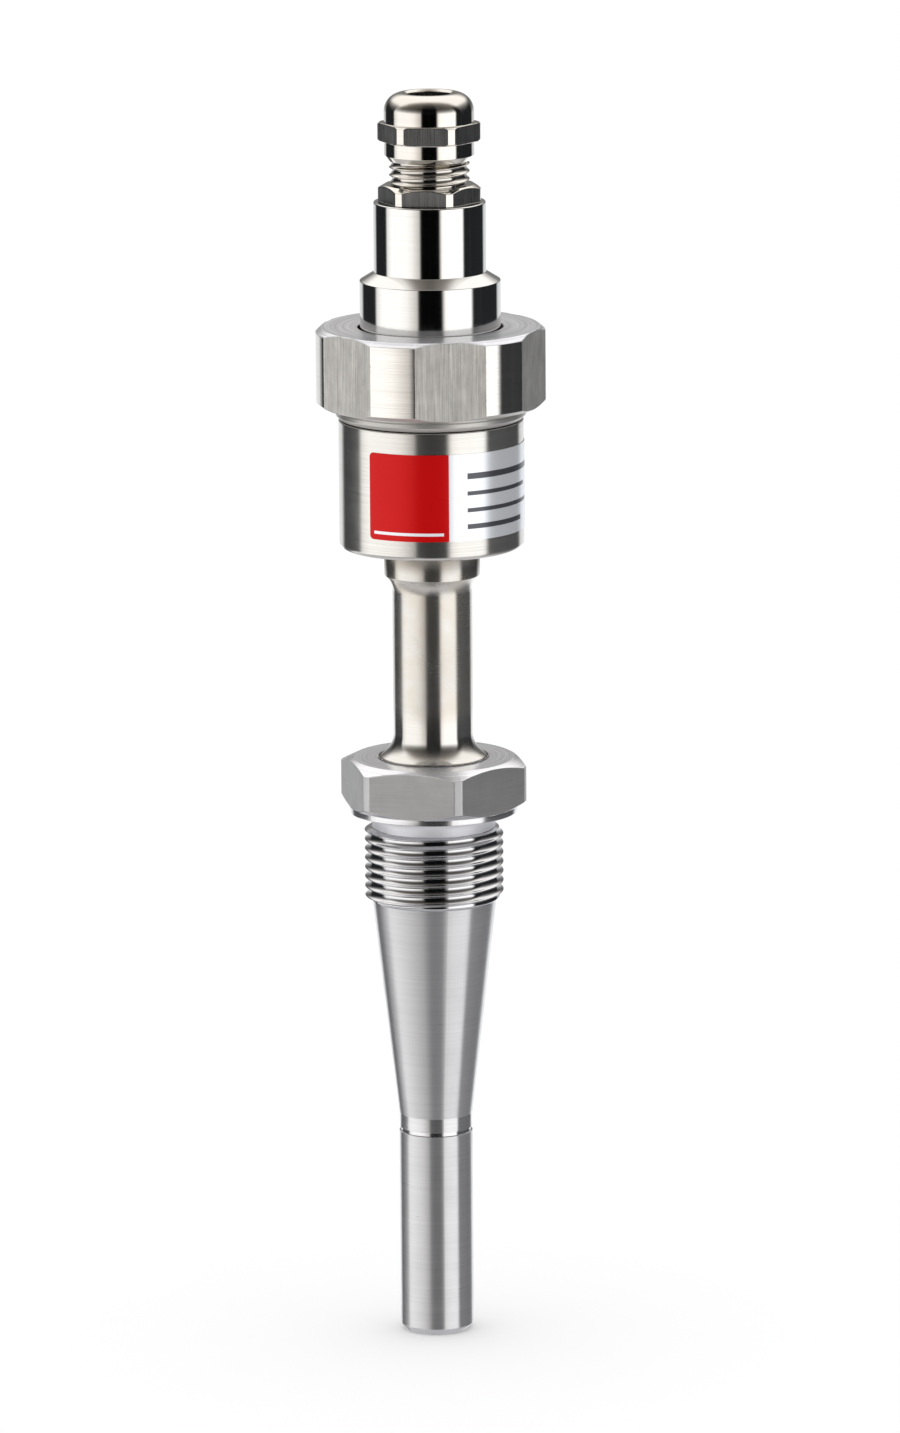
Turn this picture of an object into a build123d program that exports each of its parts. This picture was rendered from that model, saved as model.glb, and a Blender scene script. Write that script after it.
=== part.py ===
from build123d import *
import math
import os

# Screw-in resistance temperature probe with a small cylindrical connection head.
# A drilled thermowell screws into the pipe, a neck tube carries the round housing above it,
# and a union nut holds the head sleeve with its cable gland on the housing's rim.
# The origin is the centre of the sealing face under the well's hexagon, and +Z runs along
# the probe's axis towards the cable gland. All sizes are in millimetres.
# Turned parts are drawn as (radius, height) outlines. Angles of corners and labels are counted
# from the front, the side that looks along -Y, and grow towards +X.

# Clearances
running_clearance = 0.05
thread_clearance = 0.04
bolt_clearance = 0.1
seal_clearance = 0.02
edge_break = 0.3
match_tolerance = 0.01

# Thermowell: process thread, sealing face and hexagon
process_thread_diameter = 26.44
process_thread_length = 12.8
process_thread_chamfer = 1.0
undercut_diameter = 23.4
undercut_length = 3.0
undercut_ramp = 0.5
seal_face_diameter = 32.2
seal_land_height = 1.2
well_hex_across_flats = 32.0
well_hex_turned_diameter = 36.1
well_hex_height = 10.4
well_hex_lower_chamfer = 1.25
well_hex_upper_chamfer = 1.3
well_hex_top_diameter = 30.6
well_hex_angle = 15.0

# Thermowell: stem below the thread
cone_top_diameter = 23.66
cone_length = 41.8
tip_diameter = 14.0
tip_band_length = 2.7
tip_groove_width = 0.7
tip_groove_depth = 0.5
tip_length = 39.3
tip_chamfer = 1.2
tip_wall = 5.0
well_bore_diameter = 6.5

# Neck tube
neck_diameter = 15.15
neck_bore = 9.0
neck_length = 40.8
neck_foot_diameter = 20.9
neck_foot_height = 3.9
neck_foot_hollow = (0.24, 0.38)
neck_collar_diameter = 18.14
neck_collar_height = 5.9
neck_collar_chamfer = 0.4
neck_collar_fillet_height = 3.0
neck_collar_hollow = (0.27, 0.6)

# Housing
housing_diameter = 35.0
housing_rim_wall = 2.0
housing_floor = 4.0
housing_skirt_height = 24.4
housing_edge_round = 0.9
housing_rim_inset = 1.0
housing_thread_length = 12.4
housing_thread_chamfer = 0.8

# Label on the housing
label_thickness = 0.12
label_height = 16.5
label_low_edge = 3.8
label_left_angle = -41.0
label_right_angle = 122.0
label_corner = 0.8

# Union nut
nut_across_flats = 41.0
nut_turned_diameter = 43.7
nut_top_chamfer = 0.85
nut_top_chamfer_width = 1.2
nut_lower_chamfer = 0.8
nut_lower_chamfer_width = 1.12
nut_top_wall = 2.3
nut_lip_overhang = 0.55
nut_lip_height = 2.5
nut_lip_round = 0.8
nut_lip_groove_depth = 0.15
nut_lip_groove_width = 0.25
nut_lip_groove_shares = (0.62, 0.82)
nut_rest_gap = 0.2
nut_hex_angle = 40.5
nut_hole_clearance = 0.45

# Head sleeve
sleeve_lower_wall = 2.8
sleeve_upper_diameter = 21.2
sleeve_lower_height = 14.06
sleeve_cone_height = 1.65
sleeve_upper_height = 13.3
sleeve_flange_inset = 0.5
sleeve_flange_height = 2.96
sleeve_spigot_length = 4.5
sleeve_spigot_wall = 2.57
sleeve_bore_height = 11.0
sleeve_upper_bore = 14.0
gland_thread_diameter = 15.9
gland_thread_length = 9.0
gland_thread_well = 1.6

# Seals
head_o_ring_section = 1.36
head_o_ring_below_rim = 1.3
gland_o_ring_section = 1.26
o_ring_side_room = 0.3

# Cable gland body
gland_hex_across_flats = 17.5
gland_hex_turned_diameter = 19.4
gland_hex_height = 3.3
gland_hex_chamfer = 0.75
gland_hex_chamfer_width = 1.3
gland_hex_angle = 23.0
gland_neck_groove = 1.8
gland_neck_groove_depth = 0.75
gland_upper_thread_diameter = 15.2
gland_upper_thread_length = 8.1
gland_passage = 9.2
gland_socket_diameter = 12.0

# Dome nut
dome_nut_backoff = 4.57
dome_diameter = 17.0
dome_skirt_length = 3.65
dome_skirt_end_diameter = 14.9
dome_skirt_chamfer = 1.0
dome_hex_height = 3.47
dome_hex_across_flats = 17.5
dome_hex_turned_diameter = 19.4
dome_hex_chamfer = 0.5
dome_hex_angle = 26.0
dome_collar_height = 2.1
dome_radius = 3.5
entry_diameter = 8.7
entry_length = 1.6
entry_chamfer = 0.35
dome_bore = 12.4
dome_thread_depth = 6.8

# Clamping cage and seal inside the gland
cage_wall = 1.05
cage_collar_height = 2.5
cage_finger_count = 9
cage_slot_width = 0.8
cage_tip_gap = 0.05
cage_tip_land = 0.1
cage_travel_down = 3.0
cage_floor_gap = 0.3
cage_bottom_above_skirt = -0.3
seal_bore = 6.4
seal_tip_drop = 0.9
seal_chamfer = 0.6

# Measuring insert: sheath, sensor and insulation
sheath_diameter = 6.0
sheath_wall = 0.5
sheath_tip_floor = 1.5
sensor_diameter = 4.2
sensor_length = 12.0
insulator_diameter = 4.6
insulator_gap = 0.5
wire_diameter = 0.6
wire_bore = 0.9
wire_axis_distance = 0.95
wire_bend = 1.0

# Measuring insert: carrier plate, terminals and springs
plate_above_floor = 6.8
plate_thickness = 2.0
plate_edge_gap = 1.0
plate_flat_depth = 3.0
block_spring_gap = 0.65
block_edge_inset = 0.2
block_height = 8.0
block_corner = 2.0
block_outer_wall = 0.95
block_well_length = 5.8
block_well_wall = 2.0
terminal_inset = 4.78
terminal_screw_gap = 0.3
terminal_length = 4.8
terminal_height = 5.0
terminal_screw_diameter = 2.4
terminal_screw_head = 4.0
terminal_screw_head_height = 1.5
terminal_wire_height = 1.5
terminal_wire_bore = 1.8
pocket_floor = 2.5
block_screw_inset = 2.78
block_screw_diameter = 2.0
block_screw_head = 3.4
block_screw_head_height = 1.4
mounting_screw_inset = 3.0
mounting_screw_diameter = 3.0
mounting_screw_head = 5.2
mounting_screw_head_height = 2.0
mounting_screw_engagement = 3.2
spring_length = 12.0
spring_wire = 0.6
spring_mean_diameter = 4.1
spring_turns = 6
earth_screw_wall_gap = 0.5
earth_screw_angle = 225.0
earth_screw_diameter = 3.0
earth_screw_head = 4.6
earth_screw_head_height = 1.8
earth_washer_diameter = 5.6
earth_washer_thickness = 0.6
slot_width = 0.6
slot_depth = 0.7

# Heights along the axis, worked out from the sizes above
thread_top = -undercut_length - undercut_ramp
thread_bottom = thread_top - process_thread_length
cone_top = thread_bottom - process_thread_chamfer
cone_bottom = cone_top - cone_length
groove_top = cone_bottom - tip_band_length
groove_bottom = groove_top - tip_groove_width
tip_bottom = groove_bottom - tip_length
well_floor = tip_bottom + tip_wall
neck_bottom = well_hex_height
housing_bottom = neck_bottom + neck_length
housing_floor_top = housing_bottom + housing_floor
housing_shoulder = housing_bottom + housing_skirt_height
housing_rim = housing_shoulder + housing_thread_length
nut_bottom = housing_shoulder + nut_rest_gap
nut_lip_top = nut_bottom + nut_lip_height
nut_seat = housing_rim + sleeve_flange_height
nut_top = nut_seat + nut_top_wall
sleeve_bottom = housing_rim - sleeve_spigot_length
sleeve_cone_bottom = housing_rim + sleeve_lower_height
sleeve_cone_top = sleeve_cone_bottom + sleeve_cone_height
sleeve_top = sleeve_cone_top + sleeve_upper_height
sleeve_bore_top = housing_rim + sleeve_bore_height
gland_thread_bottom = sleeve_top - gland_thread_length
gland_hex_top = sleeve_top + gland_hex_height
gland_rim = gland_hex_top + gland_upper_thread_length
dome_bottom = gland_hex_top + dome_nut_backoff
dome_hex_bottom = dome_bottom + dome_skirt_length
dome_hex_top = dome_hex_bottom + dome_hex_height
dome_collar_top = dome_hex_top + dome_collar_height
dome_top = dome_collar_top + dome_radius
entry_bottom = dome_top - entry_length
dome_thread_top = dome_bottom + dome_thread_depth
cage_bottom = dome_bottom + cage_bottom_above_skirt
gland_socket_floor = cage_bottom - cage_travel_down - cage_floor_gap
plate_bottom = housing_floor_top + plate_above_floor
plate_top = plate_bottom + plate_thickness
block_top = plate_top + block_height
terminal_bottom = plate_top + pocket_floor
terminal_top = terminal_bottom + terminal_height
wire_height = terminal_bottom + terminal_wire_height
spring_top = plate_top + spring_length
sheath_bore = sheath_diameter - 2 * sheath_wall
sensor_bottom = well_floor + sheath_tip_floor
sensor_top = sensor_bottom + sensor_length
insulator_bottom = sensor_top + insulator_gap

# Widths that fit one piece to another
housing_thread_diameter = housing_diameter - 2 * housing_rim_inset
housing_bore = housing_thread_diameter - 2 * housing_rim_wall
spigot_radius = housing_bore / 2 - running_clearance
head_groove_radius = spigot_radius - head_o_ring_section - seal_clearance
sleeve_bore = 2 * (head_groove_radius - sleeve_spigot_wall)
sleeve_lower_diameter = sleeve_bore + 2 * sleeve_lower_wall
sleeve_flange_diameter = housing_thread_diameter - 2 * sleeve_flange_inset
nut_top_diameter = nut_turned_diameter - 2 * nut_top_chamfer_width
nut_lip_diameter = housing_diameter + 2 * nut_lip_overhang
plate_diameter = housing_bore - 2 * plate_edge_gap
plate_width = plate_diameter - 2 * plate_flat_depth
mounting_screw_x = plate_diameter / 2 - mounting_screw_inset
spring_outer_diameter = spring_mean_diameter + spring_wire
block_width = 2 * (mounting_screw_x - spring_outer_diameter / 2 - block_spring_gap)
block_length = 2 * math.sqrt((plate_diameter / 2 - block_edge_inset) ** 2 - (block_width / 2) ** 2)
block_well_width = block_width - 2 * block_well_wall
block_screw_y = block_length / 2 - block_screw_inset
terminal_inner_x = block_screw_head / 2 + terminal_screw_gap
terminal_outer_x = block_width / 2 - block_outer_wall - running_clearance
terminal_width = terminal_outer_x - terminal_inner_x
terminal_x = (terminal_inner_x + terminal_outer_x) / 2
terminal_y = block_length / 2 - terminal_inset
earth_screw_place = (housing_bore - earth_washer_diameter) / 2 - earth_screw_wall_gap

# Radii that fit one piece to another
nut_bore_radius = housing_thread_diameter / 2 + thread_clearance
nut_hole_radius = sleeve_lower_diameter / 2 + nut_hole_clearance
gland_groove_radius = gland_thread_diameter / 2 - gland_neck_groove_depth
gland_recess_radius = gland_groove_radius + gland_o_ring_section + 2 * seal_clearance
cage_radius = gland_socket_diameter / 2 - running_clearance
cage_bore_radius = cage_radius - cage_wall
seal_radius = cage_bore_radius - running_clearance


def revolved(edges):
    """Turn a closed outline, drawn as radius and height, about the probe's axis."""
    return revolve(Plane.XZ * make_face(edges), Axis.Z)


def turned(*points):
    """A turned solid from (radius, height) points in order."""
    return revolved(Polyline(*points, close=True))


def drilled(radius, low, high, x=0.0, y=0.0):
    """An upright round bar or hole between two heights."""
    return Pos(x, y, low) * Cylinder(radius, high - low, align=(Align.CENTER, Align.CENTER, Align.MIN))


def block(width, length, low, high, x=0.0, y=0.0):
    """An upright rectangular block between two heights."""
    return Pos(x, y, low) * Box(width, length, high - low, align=(Align.CENTER, Align.CENTER, Align.MIN))


def from_front(angle):
    """Turn an angle counted from the front towards +X into one counted from +X."""
    return angle - 90.0


def hexagon(across_flats, corner, low, high):
    """A hexagonal bar with one corner at an angle from the front."""
    outline = Rot(0, 0, from_front(corner)) * RegularPolygon(across_flats / 2, 6, major_radius=False)
    return Pos(0, 0, low) * extrude(outline, high - low)


def slotted(screw, top, length, x=0.0, y=0.0, angle=0.0):
    """Cut a driver slot into a screw head."""
    slot = Pos(x, y, top - slot_depth) * Rot(0, 0, angle) * Box(
        length, slot_width, 2 * slot_depth, align=(Align.CENTER, Align.CENTER, Align.MIN)
    )
    return screw - slot


def thermowell():
    """Drilled well: hexagon, sealing face, process thread, cone and tip, turned from one bar."""
    hex_radius = well_hex_turned_diameter / 2
    seal_radius_outer = seal_face_diameter / 2
    blank = turned(
        (0, 0),
        (seal_radius_outer, 0),
        (seal_radius_outer, seal_land_height),
        (hex_radius, seal_land_height + well_hex_lower_chamfer),
        (hex_radius, well_hex_height - well_hex_upper_chamfer),
        (well_hex_top_diameter / 2, well_hex_height),
        (0, well_hex_height),
    )
    flats = hexagon(well_hex_across_flats, well_hex_angle, seal_land_height, well_hex_height)
    land = drilled(seal_radius_outer, 0, seal_land_height)
    head = (blank & flats) + (land & blank)
    thread_radius = process_thread_diameter / 2
    tip_radius = tip_diameter / 2
    groove_middle = (groove_top + groove_bottom) / 2
    stem = turned(
        (0, 0),
        (undercut_diameter / 2, 0),
        (undercut_diameter / 2, -undercut_length),
        (thread_radius, thread_top),
        (thread_radius, thread_bottom),
        (cone_top_diameter / 2, cone_top),
        (tip_radius, cone_bottom),
        (tip_radius, groove_top),
        (tip_radius - tip_groove_depth, groove_middle),
        (tip_radius, groove_bottom),
        (tip_radius, tip_bottom + tip_chamfer),
        (tip_radius - tip_chamfer, tip_bottom),
        (0, tip_bottom),
    )
    return head + stem - drilled(well_bore_diameter / 2, well_floor, well_hex_height)


def neck_tube():
    """Tube between well and housing, with a flared weld foot and a collar at the top."""
    tube = neck_diameter / 2
    foot = neck_foot_diameter / 2
    collar = neck_collar_diameter / 2
    foot_top = neck_bottom + neck_foot_height
    collar_bottom = housing_bottom - neck_collar_height
    fillet_bottom = collar_bottom - neck_collar_fillet_height
    collar_step = collar - neck_collar_chamfer
    foot_share, foot_rise = neck_foot_hollow
    collar_share, collar_rise = neck_collar_hollow
    foot_middle = (tube + foot_share * (foot - tube), neck_bottom + foot_rise * neck_foot_height)
    collar_middle = (
        tube + collar_share * (collar_step - tube),
        fillet_bottom + collar_rise * neck_collar_fillet_height,
    )
    return revolved(
        [
            Line((neck_bore / 2, neck_bottom), (foot, neck_bottom)),
            ThreePointArc((foot, neck_bottom), foot_middle, (tube, foot_top)),
            Line((tube, foot_top), (tube, fillet_bottom)),
            ThreePointArc((tube, fillet_bottom), collar_middle, (collar_step, collar_bottom)),
            Line((collar_step, collar_bottom), (collar, collar_bottom + neck_collar_chamfer)),
            Line((collar, collar_bottom + neck_collar_chamfer), (collar, housing_bottom)),
            Line((collar, housing_bottom), (neck_bore / 2, housing_bottom)),
            Line((neck_bore / 2, housing_bottom), (neck_bore / 2, neck_bottom)),
        ]
    )


def mounting_screw_places():
    """The two places of the screws that carry the measuring insert."""
    return [(mounting_screw_x, 0.0), (-mounting_screw_x, 0.0)]


def earth_place():
    """The place of the earth screw on the housing floor."""
    turn = math.radians(from_front(earth_screw_angle))
    return earth_screw_place * math.cos(turn), earth_screw_place * math.sin(turn)


def housing_body():
    """Cup that holds the terminals: rounded lower edge, threaded rim and tapped floor."""
    outer = housing_diameter / 2
    thread = housing_thread_diameter / 2
    bore = housing_bore / 2
    cup = turned(
        (neck_bore / 2, housing_bottom),
        (outer, housing_bottom),
        (outer, housing_shoulder),
        (thread, housing_shoulder),
        (thread, housing_rim - housing_thread_chamfer),
        (thread - housing_thread_chamfer, housing_rim),
        (bore, housing_rim),
        (bore, housing_floor_top),
        (neck_bore / 2, housing_floor_top),
    )
    lower_edge = cup.edges().filter_by(GeomType.CIRCLE).filter_by(
        lambda e: max(abs(e.radius - outer), abs(e.center().Z - housing_bottom)) < match_tolerance
    )
    cup = fillet(lower_edge, housing_edge_round)
    holes_low = housing_floor_top - mounting_screw_engagement
    hole_radius = mounting_screw_diameter / 2 + seal_clearance
    for x, y in mounting_screw_places():
        cup -= drilled(hole_radius, holes_low, housing_floor_top, x, y)
    x, y = earth_place()
    hole_radius = earth_screw_diameter / 2 + seal_clearance
    return cup - drilled(hole_radius, holes_low, housing_floor_top, x, y)


def label():
    """Foil label wrapped round the housing, with small rounded corners."""
    low = housing_bottom + label_low_edge
    high = low + label_height
    inner = housing_diameter / 2
    outer = inner + label_thickness
    sweep_angle = label_right_angle - label_left_angle
    outline = Polyline((inner, low), (outer, low), (outer, high), (inner, high), close=True)
    strip = Plane.XZ * make_face(outline)
    band = revolve(Rot(0, 0, from_front(label_left_angle)) * strip, Axis.Z, sweep_angle)
    ends = band.edges().filter_by(lambda e: abs(e.length - label_thickness) < match_tolerance)
    return fillet(ends, label_corner)


def union_nut():
    """Union nut: hexagon clipped by its turned diameter, lower lip, thread and inner seat."""
    turned_radius = nut_turned_diameter / 2
    lip = nut_lip_diameter / 2
    groove_1, groove_2 = [nut_bottom + nut_lip_height * share for share in nut_lip_groove_shares]
    blank = turned(
        (nut_bore_radius, nut_bottom),
        (lip - nut_lip_round, nut_bottom),
        (lip, nut_bottom + nut_lip_round),
        (lip, groove_1),
        (lip - nut_lip_groove_depth, groove_1 + nut_lip_groove_width / 2),
        (lip, groove_1 + nut_lip_groove_width),
        (lip, groove_2),
        (lip - nut_lip_groove_depth, groove_2 + nut_lip_groove_width / 2),
        (lip, groove_2 + nut_lip_groove_width),
        (lip, nut_lip_top),
        (turned_radius - nut_lower_chamfer_width, nut_lip_top),
        (turned_radius, nut_lip_top + nut_lower_chamfer),
        (turned_radius, nut_top - nut_top_chamfer),
        (nut_top_diameter / 2, nut_top),
        (nut_hole_radius, nut_top),
        (nut_hole_radius, nut_seat),
        (nut_bore_radius, nut_seat),
    )
    flats = hexagon(nut_across_flats, nut_hex_angle, nut_bottom, nut_top)
    return blank & flats


def head_sleeve():
    """Stepped sleeve: spigot and flange in the housing, and a tapped top for the gland."""
    lower = sleeve_lower_diameter / 2
    upper = sleeve_upper_diameter / 2
    groove_low = housing_rim - head_o_ring_below_rim - head_o_ring_section - o_ring_side_room
    groove_high = housing_rim - head_o_ring_below_rim
    tapped = gland_thread_diameter / 2 + thread_clearance
    recess_depth = gland_o_ring_section + 2 * seal_clearance
    return turned(
        (sleeve_bore / 2, sleeve_bottom),
        (spigot_radius, sleeve_bottom),
        (spigot_radius, groove_low),
        (head_groove_radius, groove_low),
        (head_groove_radius, groove_high),
        (spigot_radius, groove_high),
        (spigot_radius, housing_rim),
        (sleeve_flange_diameter / 2, housing_rim),
        (sleeve_flange_diameter / 2, nut_seat),
        (lower, nut_seat),
        (lower, sleeve_cone_bottom),
        (upper, sleeve_cone_top),
        (upper, sleeve_top - edge_break),
        (upper - edge_break, sleeve_top),
        (gland_recess_radius, sleeve_top),
        (gland_recess_radius, sleeve_top - recess_depth),
        (tapped, sleeve_top - recess_depth),
        (tapped, gland_thread_bottom - gland_thread_well),
        (sleeve_upper_bore / 2, gland_thread_bottom - gland_thread_well),
        (sleeve_upper_bore / 2, sleeve_bore_top),
        (sleeve_bore / 2, sleeve_bore_top - (sleeve_bore - sleeve_upper_bore) / 2),
    )


def o_ring(inner_radius, section, middle):
    """A rubber ring of round section."""
    return Pos(0, 0, middle) * Torus(inner_radius + section / 2, section / 2)


def head_o_ring():
    """Seal between the sleeve's spigot and the housing bore."""
    middle = housing_rim - head_o_ring_below_rim - (head_o_ring_section + o_ring_side_room) / 2
    return o_ring(head_groove_radius + seal_clearance, head_o_ring_section, middle)


def gland_o_ring():
    """Seal under the gland's hexagon."""
    middle = sleeve_top - seal_clearance - gland_o_ring_section / 2
    return o_ring(gland_groove_radius + seal_clearance, gland_o_ring_section, middle)


def gland_body():
    """Cable gland body: lower thread, hexagon, upper thread and the cage's socket."""
    hex_radius = gland_hex_turned_diameter / 2
    lower = gland_thread_diameter / 2
    upper = gland_upper_thread_diameter / 2
    groove_bottom_z = sleeve_top - gland_neck_groove
    blank = turned(
        (gland_passage / 2, gland_thread_bottom),
        (lower - edge_break, gland_thread_bottom),
        (lower, gland_thread_bottom + edge_break),
        (lower, groove_bottom_z),
        (gland_groove_radius, groove_bottom_z),
        (gland_groove_radius, sleeve_top),
        (hex_radius, sleeve_top),
        (hex_radius, gland_hex_top - gland_hex_chamfer),
        (hex_radius - gland_hex_chamfer_width, gland_hex_top),
        (upper, gland_hex_top),
        (upper, gland_rim - edge_break),
        (upper - edge_break, gland_rim),
        (gland_socket_diameter / 2, gland_rim),
        (gland_socket_diameter / 2, gland_socket_floor),
        (gland_passage / 2, gland_socket_floor),
    )
    flats = hexagon(gland_hex_across_flats, gland_hex_angle, gland_thread_bottom, gland_rim)
    return blank & flats


def gland_clamp_cage():
    """Clamping cage: a collar with spring fingers that close on the seal."""
    cone_height_at_cage = entry_bottom - (cage_radius - entry_diameter / 2) - cage_tip_gap
    tip_radius = cage_bore_radius + cage_tip_land
    tip_height = cone_height_at_cage + cage_radius - tip_radius
    cage = turned(
        (cage_bore_radius, cage_bottom),
        (cage_radius, cage_bottom),
        (cage_radius, cone_height_at_cage),
        (tip_radius, tip_height),
        (cage_bore_radius, tip_height),
    )
    slot_low = cage_bottom + cage_collar_height
    slot_high = tip_height + cage_wall
    slot = block(cage_radius + cage_wall, cage_slot_width, slot_low, slot_high, x=cage_radius / 2)
    for number in range(cage_finger_count):
        cage -= Rot(0, 0, 360.0 * number / cage_finger_count) * slot
    return cage


def gland_seal():
    """Rubber sleeve that the fingers press on the cable."""
    seal_bottom = cage_bottom
    cone_height_at_cage = entry_bottom - (cage_radius - entry_diameter / 2)
    seal_top = cone_height_at_cage + cage_radius - cage_bore_radius - seal_tip_drop
    return turned(
        (seal_bore / 2 + seal_chamfer, seal_bottom),
        (seal_radius, seal_bottom),
        (seal_radius, seal_top),
        (seal_bore / 2 + seal_chamfer, seal_top),
        (seal_bore / 2, seal_top - seal_chamfer),
        (seal_bore / 2, seal_bottom + seal_chamfer),
    )


def gland_dome_nut():
    """Dome nut: threaded skirt, hexagon flange, rounded dome and cable entry."""
    outer = dome_diameter / 2
    flange = dome_hex_turned_diameter / 2
    entry = entry_diameter / 2
    crown = outer - dome_radius
    thread = gland_upper_thread_diameter / 2 + thread_clearance
    cone_low = entry_bottom - (dome_bore / 2 - entry)
    arc_middle = dome_radius * math.sqrt(0.5)
    blank = revolved(
        [
            Polyline(
                (crown, dome_top),
                (entry + entry_chamfer, dome_top),
                (entry, dome_top - entry_chamfer),
                (entry, entry_bottom),
                (dome_bore / 2, cone_low),
                (dome_bore / 2, dome_thread_top),
                (thread, dome_thread_top),
                (thread, dome_bottom),
                (dome_skirt_end_diameter / 2 + edge_break, dome_bottom),
                (outer, dome_bottom + dome_skirt_chamfer),
                (outer, dome_hex_bottom),
                (flange - dome_hex_chamfer, dome_hex_bottom),
                (flange, dome_hex_bottom + dome_hex_chamfer),
                (flange, dome_hex_top - dome_hex_chamfer),
                (flange - dome_hex_chamfer, dome_hex_top),
                (outer, dome_hex_top),
                (outer, dome_collar_top),
            ),
            ThreePointArc(
                (outer, dome_collar_top),
                (crown + arc_middle, dome_collar_top + arc_middle),
                (crown, dome_top),
            ),
        ]
    )
    flats = hexagon(dome_hex_across_flats, dome_hex_angle, dome_bottom, dome_top)
    return blank & flats


def insert_sheath():
    """Closed metal sheath of the measuring insert."""
    outer = sheath_diameter / 2
    inner = sheath_bore / 2
    return turned(
        (0, well_floor),
        (outer - edge_break, well_floor),
        (outer, well_floor + edge_break),
        (outer, plate_top),
        (inner, plate_top),
        (inner, sensor_bottom),
        (0, sensor_bottom),
    )


def sensor_element():
    """Wound ceramic sensing resistor at the tip of the sheath."""
    return drilled(sensor_diameter / 2, sensor_bottom, sensor_top)


def wire_places():
    """Signs of the four conductors, two for each end of the resistor."""
    return [(1, 1), (-1, 1), (-1, -1), (1, -1)]


def insulator_rod():
    """Ceramic rod with four bores that keeps the conductors apart."""
    rod = drilled(insulator_diameter / 2, insulator_bottom, plate_top)
    for side_x, side_y in wire_places():
        x, y = side_x * wire_axis_distance, side_y * wire_axis_distance
        rod -= drilled(wire_bore / 2, insulator_bottom, plate_top, x, y)
    return rod


def lead_wires():
    """Four conductors from the resistor through the rod into the terminals."""
    wires = []
    for side_x, side_y in wire_places():
        start = (side_x * wire_axis_distance, side_y * wire_axis_distance, sensor_top)
        route = FilletPolyline(
            start,
            (side_x * wire_axis_distance, side_y * wire_axis_distance, wire_height),
            (side_x * terminal_x, side_y * wire_axis_distance, wire_height),
            (side_x * terminal_x, side_y * (terminal_y + terminal_length / 4), wire_height),
            radius=wire_bend,
        )
        section = Plane(origin=start, z_dir=(0, 0, 1)) * Circle(wire_diameter / 2)
        wires.append(sweep(section, path=route))
    return wires


def insert_plate():
    """Carrier plate of the insert, with two flats and holes for its screws."""
    plate = drilled(plate_diameter / 2, plate_bottom, plate_top)
    plate = plate & block(plate_diameter, plate_width, plate_bottom, plate_top)
    plate -= drilled(sheath_diameter / 2, plate_bottom, plate_top)
    for x, y in mounting_screw_places():
        plate -= drilled(mounting_screw_diameter / 2 + bolt_clearance, plate_bottom, plate_top, x, y)
    for side in (1, -1):
        hole_radius = block_screw_diameter / 2 + seal_clearance
        plate -= drilled(hole_radius, plate_bottom, plate_top, 0, side * block_screw_y)
    return plate


def terminal_places():
    """Centres of the four screw terminals."""
    return [(side_x * terminal_x, side_y * terminal_y) for side_x, side_y in wire_places()]


def terminal_block():
    """Ceramic block with four open pockets, a middle well and two fixing holes."""
    body = block(block_width, block_length, plate_top, block_top)
    body = fillet(body.edges().filter_by(Axis.Z), block_corner)
    body -= block(block_well_width, block_well_length, plate_top, block_top)
    pocket_start = terminal_y - terminal_length / 2 - running_clearance
    pocket_length = block_length / 2 - pocket_start
    pocket_width = terminal_width + 2 * running_clearance
    for side_x, side_y in wire_places():
        x = side_x * terminal_x
        y = side_y * (pocket_start + pocket_length / 2)
        body -= block(pocket_width, pocket_length, terminal_bottom, block_top, x, y)
    for side in (1, -1):
        tunnel = Pos(side * terminal_x, 0, wire_height) * Rot(90, 0, 0)
        body -= tunnel * Cylinder(terminal_wire_bore / 2, 2 * pocket_start)
        y = side * block_screw_y
        body -= drilled(block_screw_diameter / 2 + seal_clearance, plate_top, block_top, 0, y)
        head_radius = block_screw_head / 2 + seal_clearance
        body -= drilled(head_radius, block_top - block_screw_head_height, block_top, 0, y)
    return body


def terminal_clamps():
    """Four brass clamp bodies, each with a conductor bore and a tapped hole."""
    clamps = []
    for x, y in terminal_places():
        clamp = block(terminal_width, terminal_length, terminal_bottom, terminal_top, x, y)
        bore = Pos(x, y, wire_height) * Rot(90, 0, 0) * Cylinder(terminal_wire_bore / 2, terminal_length)
        clamp = clamp - bore
        hole_radius = terminal_screw_diameter / 2 + seal_clearance
        clamps.append(clamp - drilled(hole_radius, wire_height, terminal_top, x, y))
    return clamps


def terminal_screws():
    """Four slotted screws that press on the conductors."""
    screws = []
    for number, (x, y) in enumerate(terminal_places()):
        tip = wire_height + wire_diameter / 2 + seal_clearance
        top = terminal_top + terminal_screw_head_height
        screw = drilled(terminal_screw_diameter / 2, tip, terminal_top, x, y)
        screw += drilled(terminal_screw_head / 2, terminal_top, top, x, y)
        screws.append(slotted(screw, top, terminal_screw_head * 2, x, y, 25.0 + 40.0 * number))
    return screws


def block_screws():
    """Two screws that fix the terminal block to its plate."""
    screws = []
    for side in (1, -1):
        y = side * block_screw_y
        screw = drilled(block_screw_diameter / 2, plate_bottom, block_top - block_screw_head_height, 0, y)
        screw += drilled(block_screw_head / 2, block_top - block_screw_head_height, block_top, 0, y)
        screws.append(slotted(screw, block_top, block_screw_head * 2, 0, y, 15.0 * side))
    return screws


def mounting_screws():
    """Two long screws in the housing floor that guide and retain the sprung insert."""
    screws = []
    foot = housing_floor_top - mounting_screw_engagement
    top = spring_top + mounting_screw_head_height
    for x, y in mounting_screw_places():
        screw = drilled(mounting_screw_diameter / 2, foot, spring_top, x, y)
        screw += drilled(mounting_screw_head / 2, spring_top, top, x, y)
        screws.append(slotted(screw, top, mounting_screw_head * 2, x, y, 30.0))
    return screws


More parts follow.
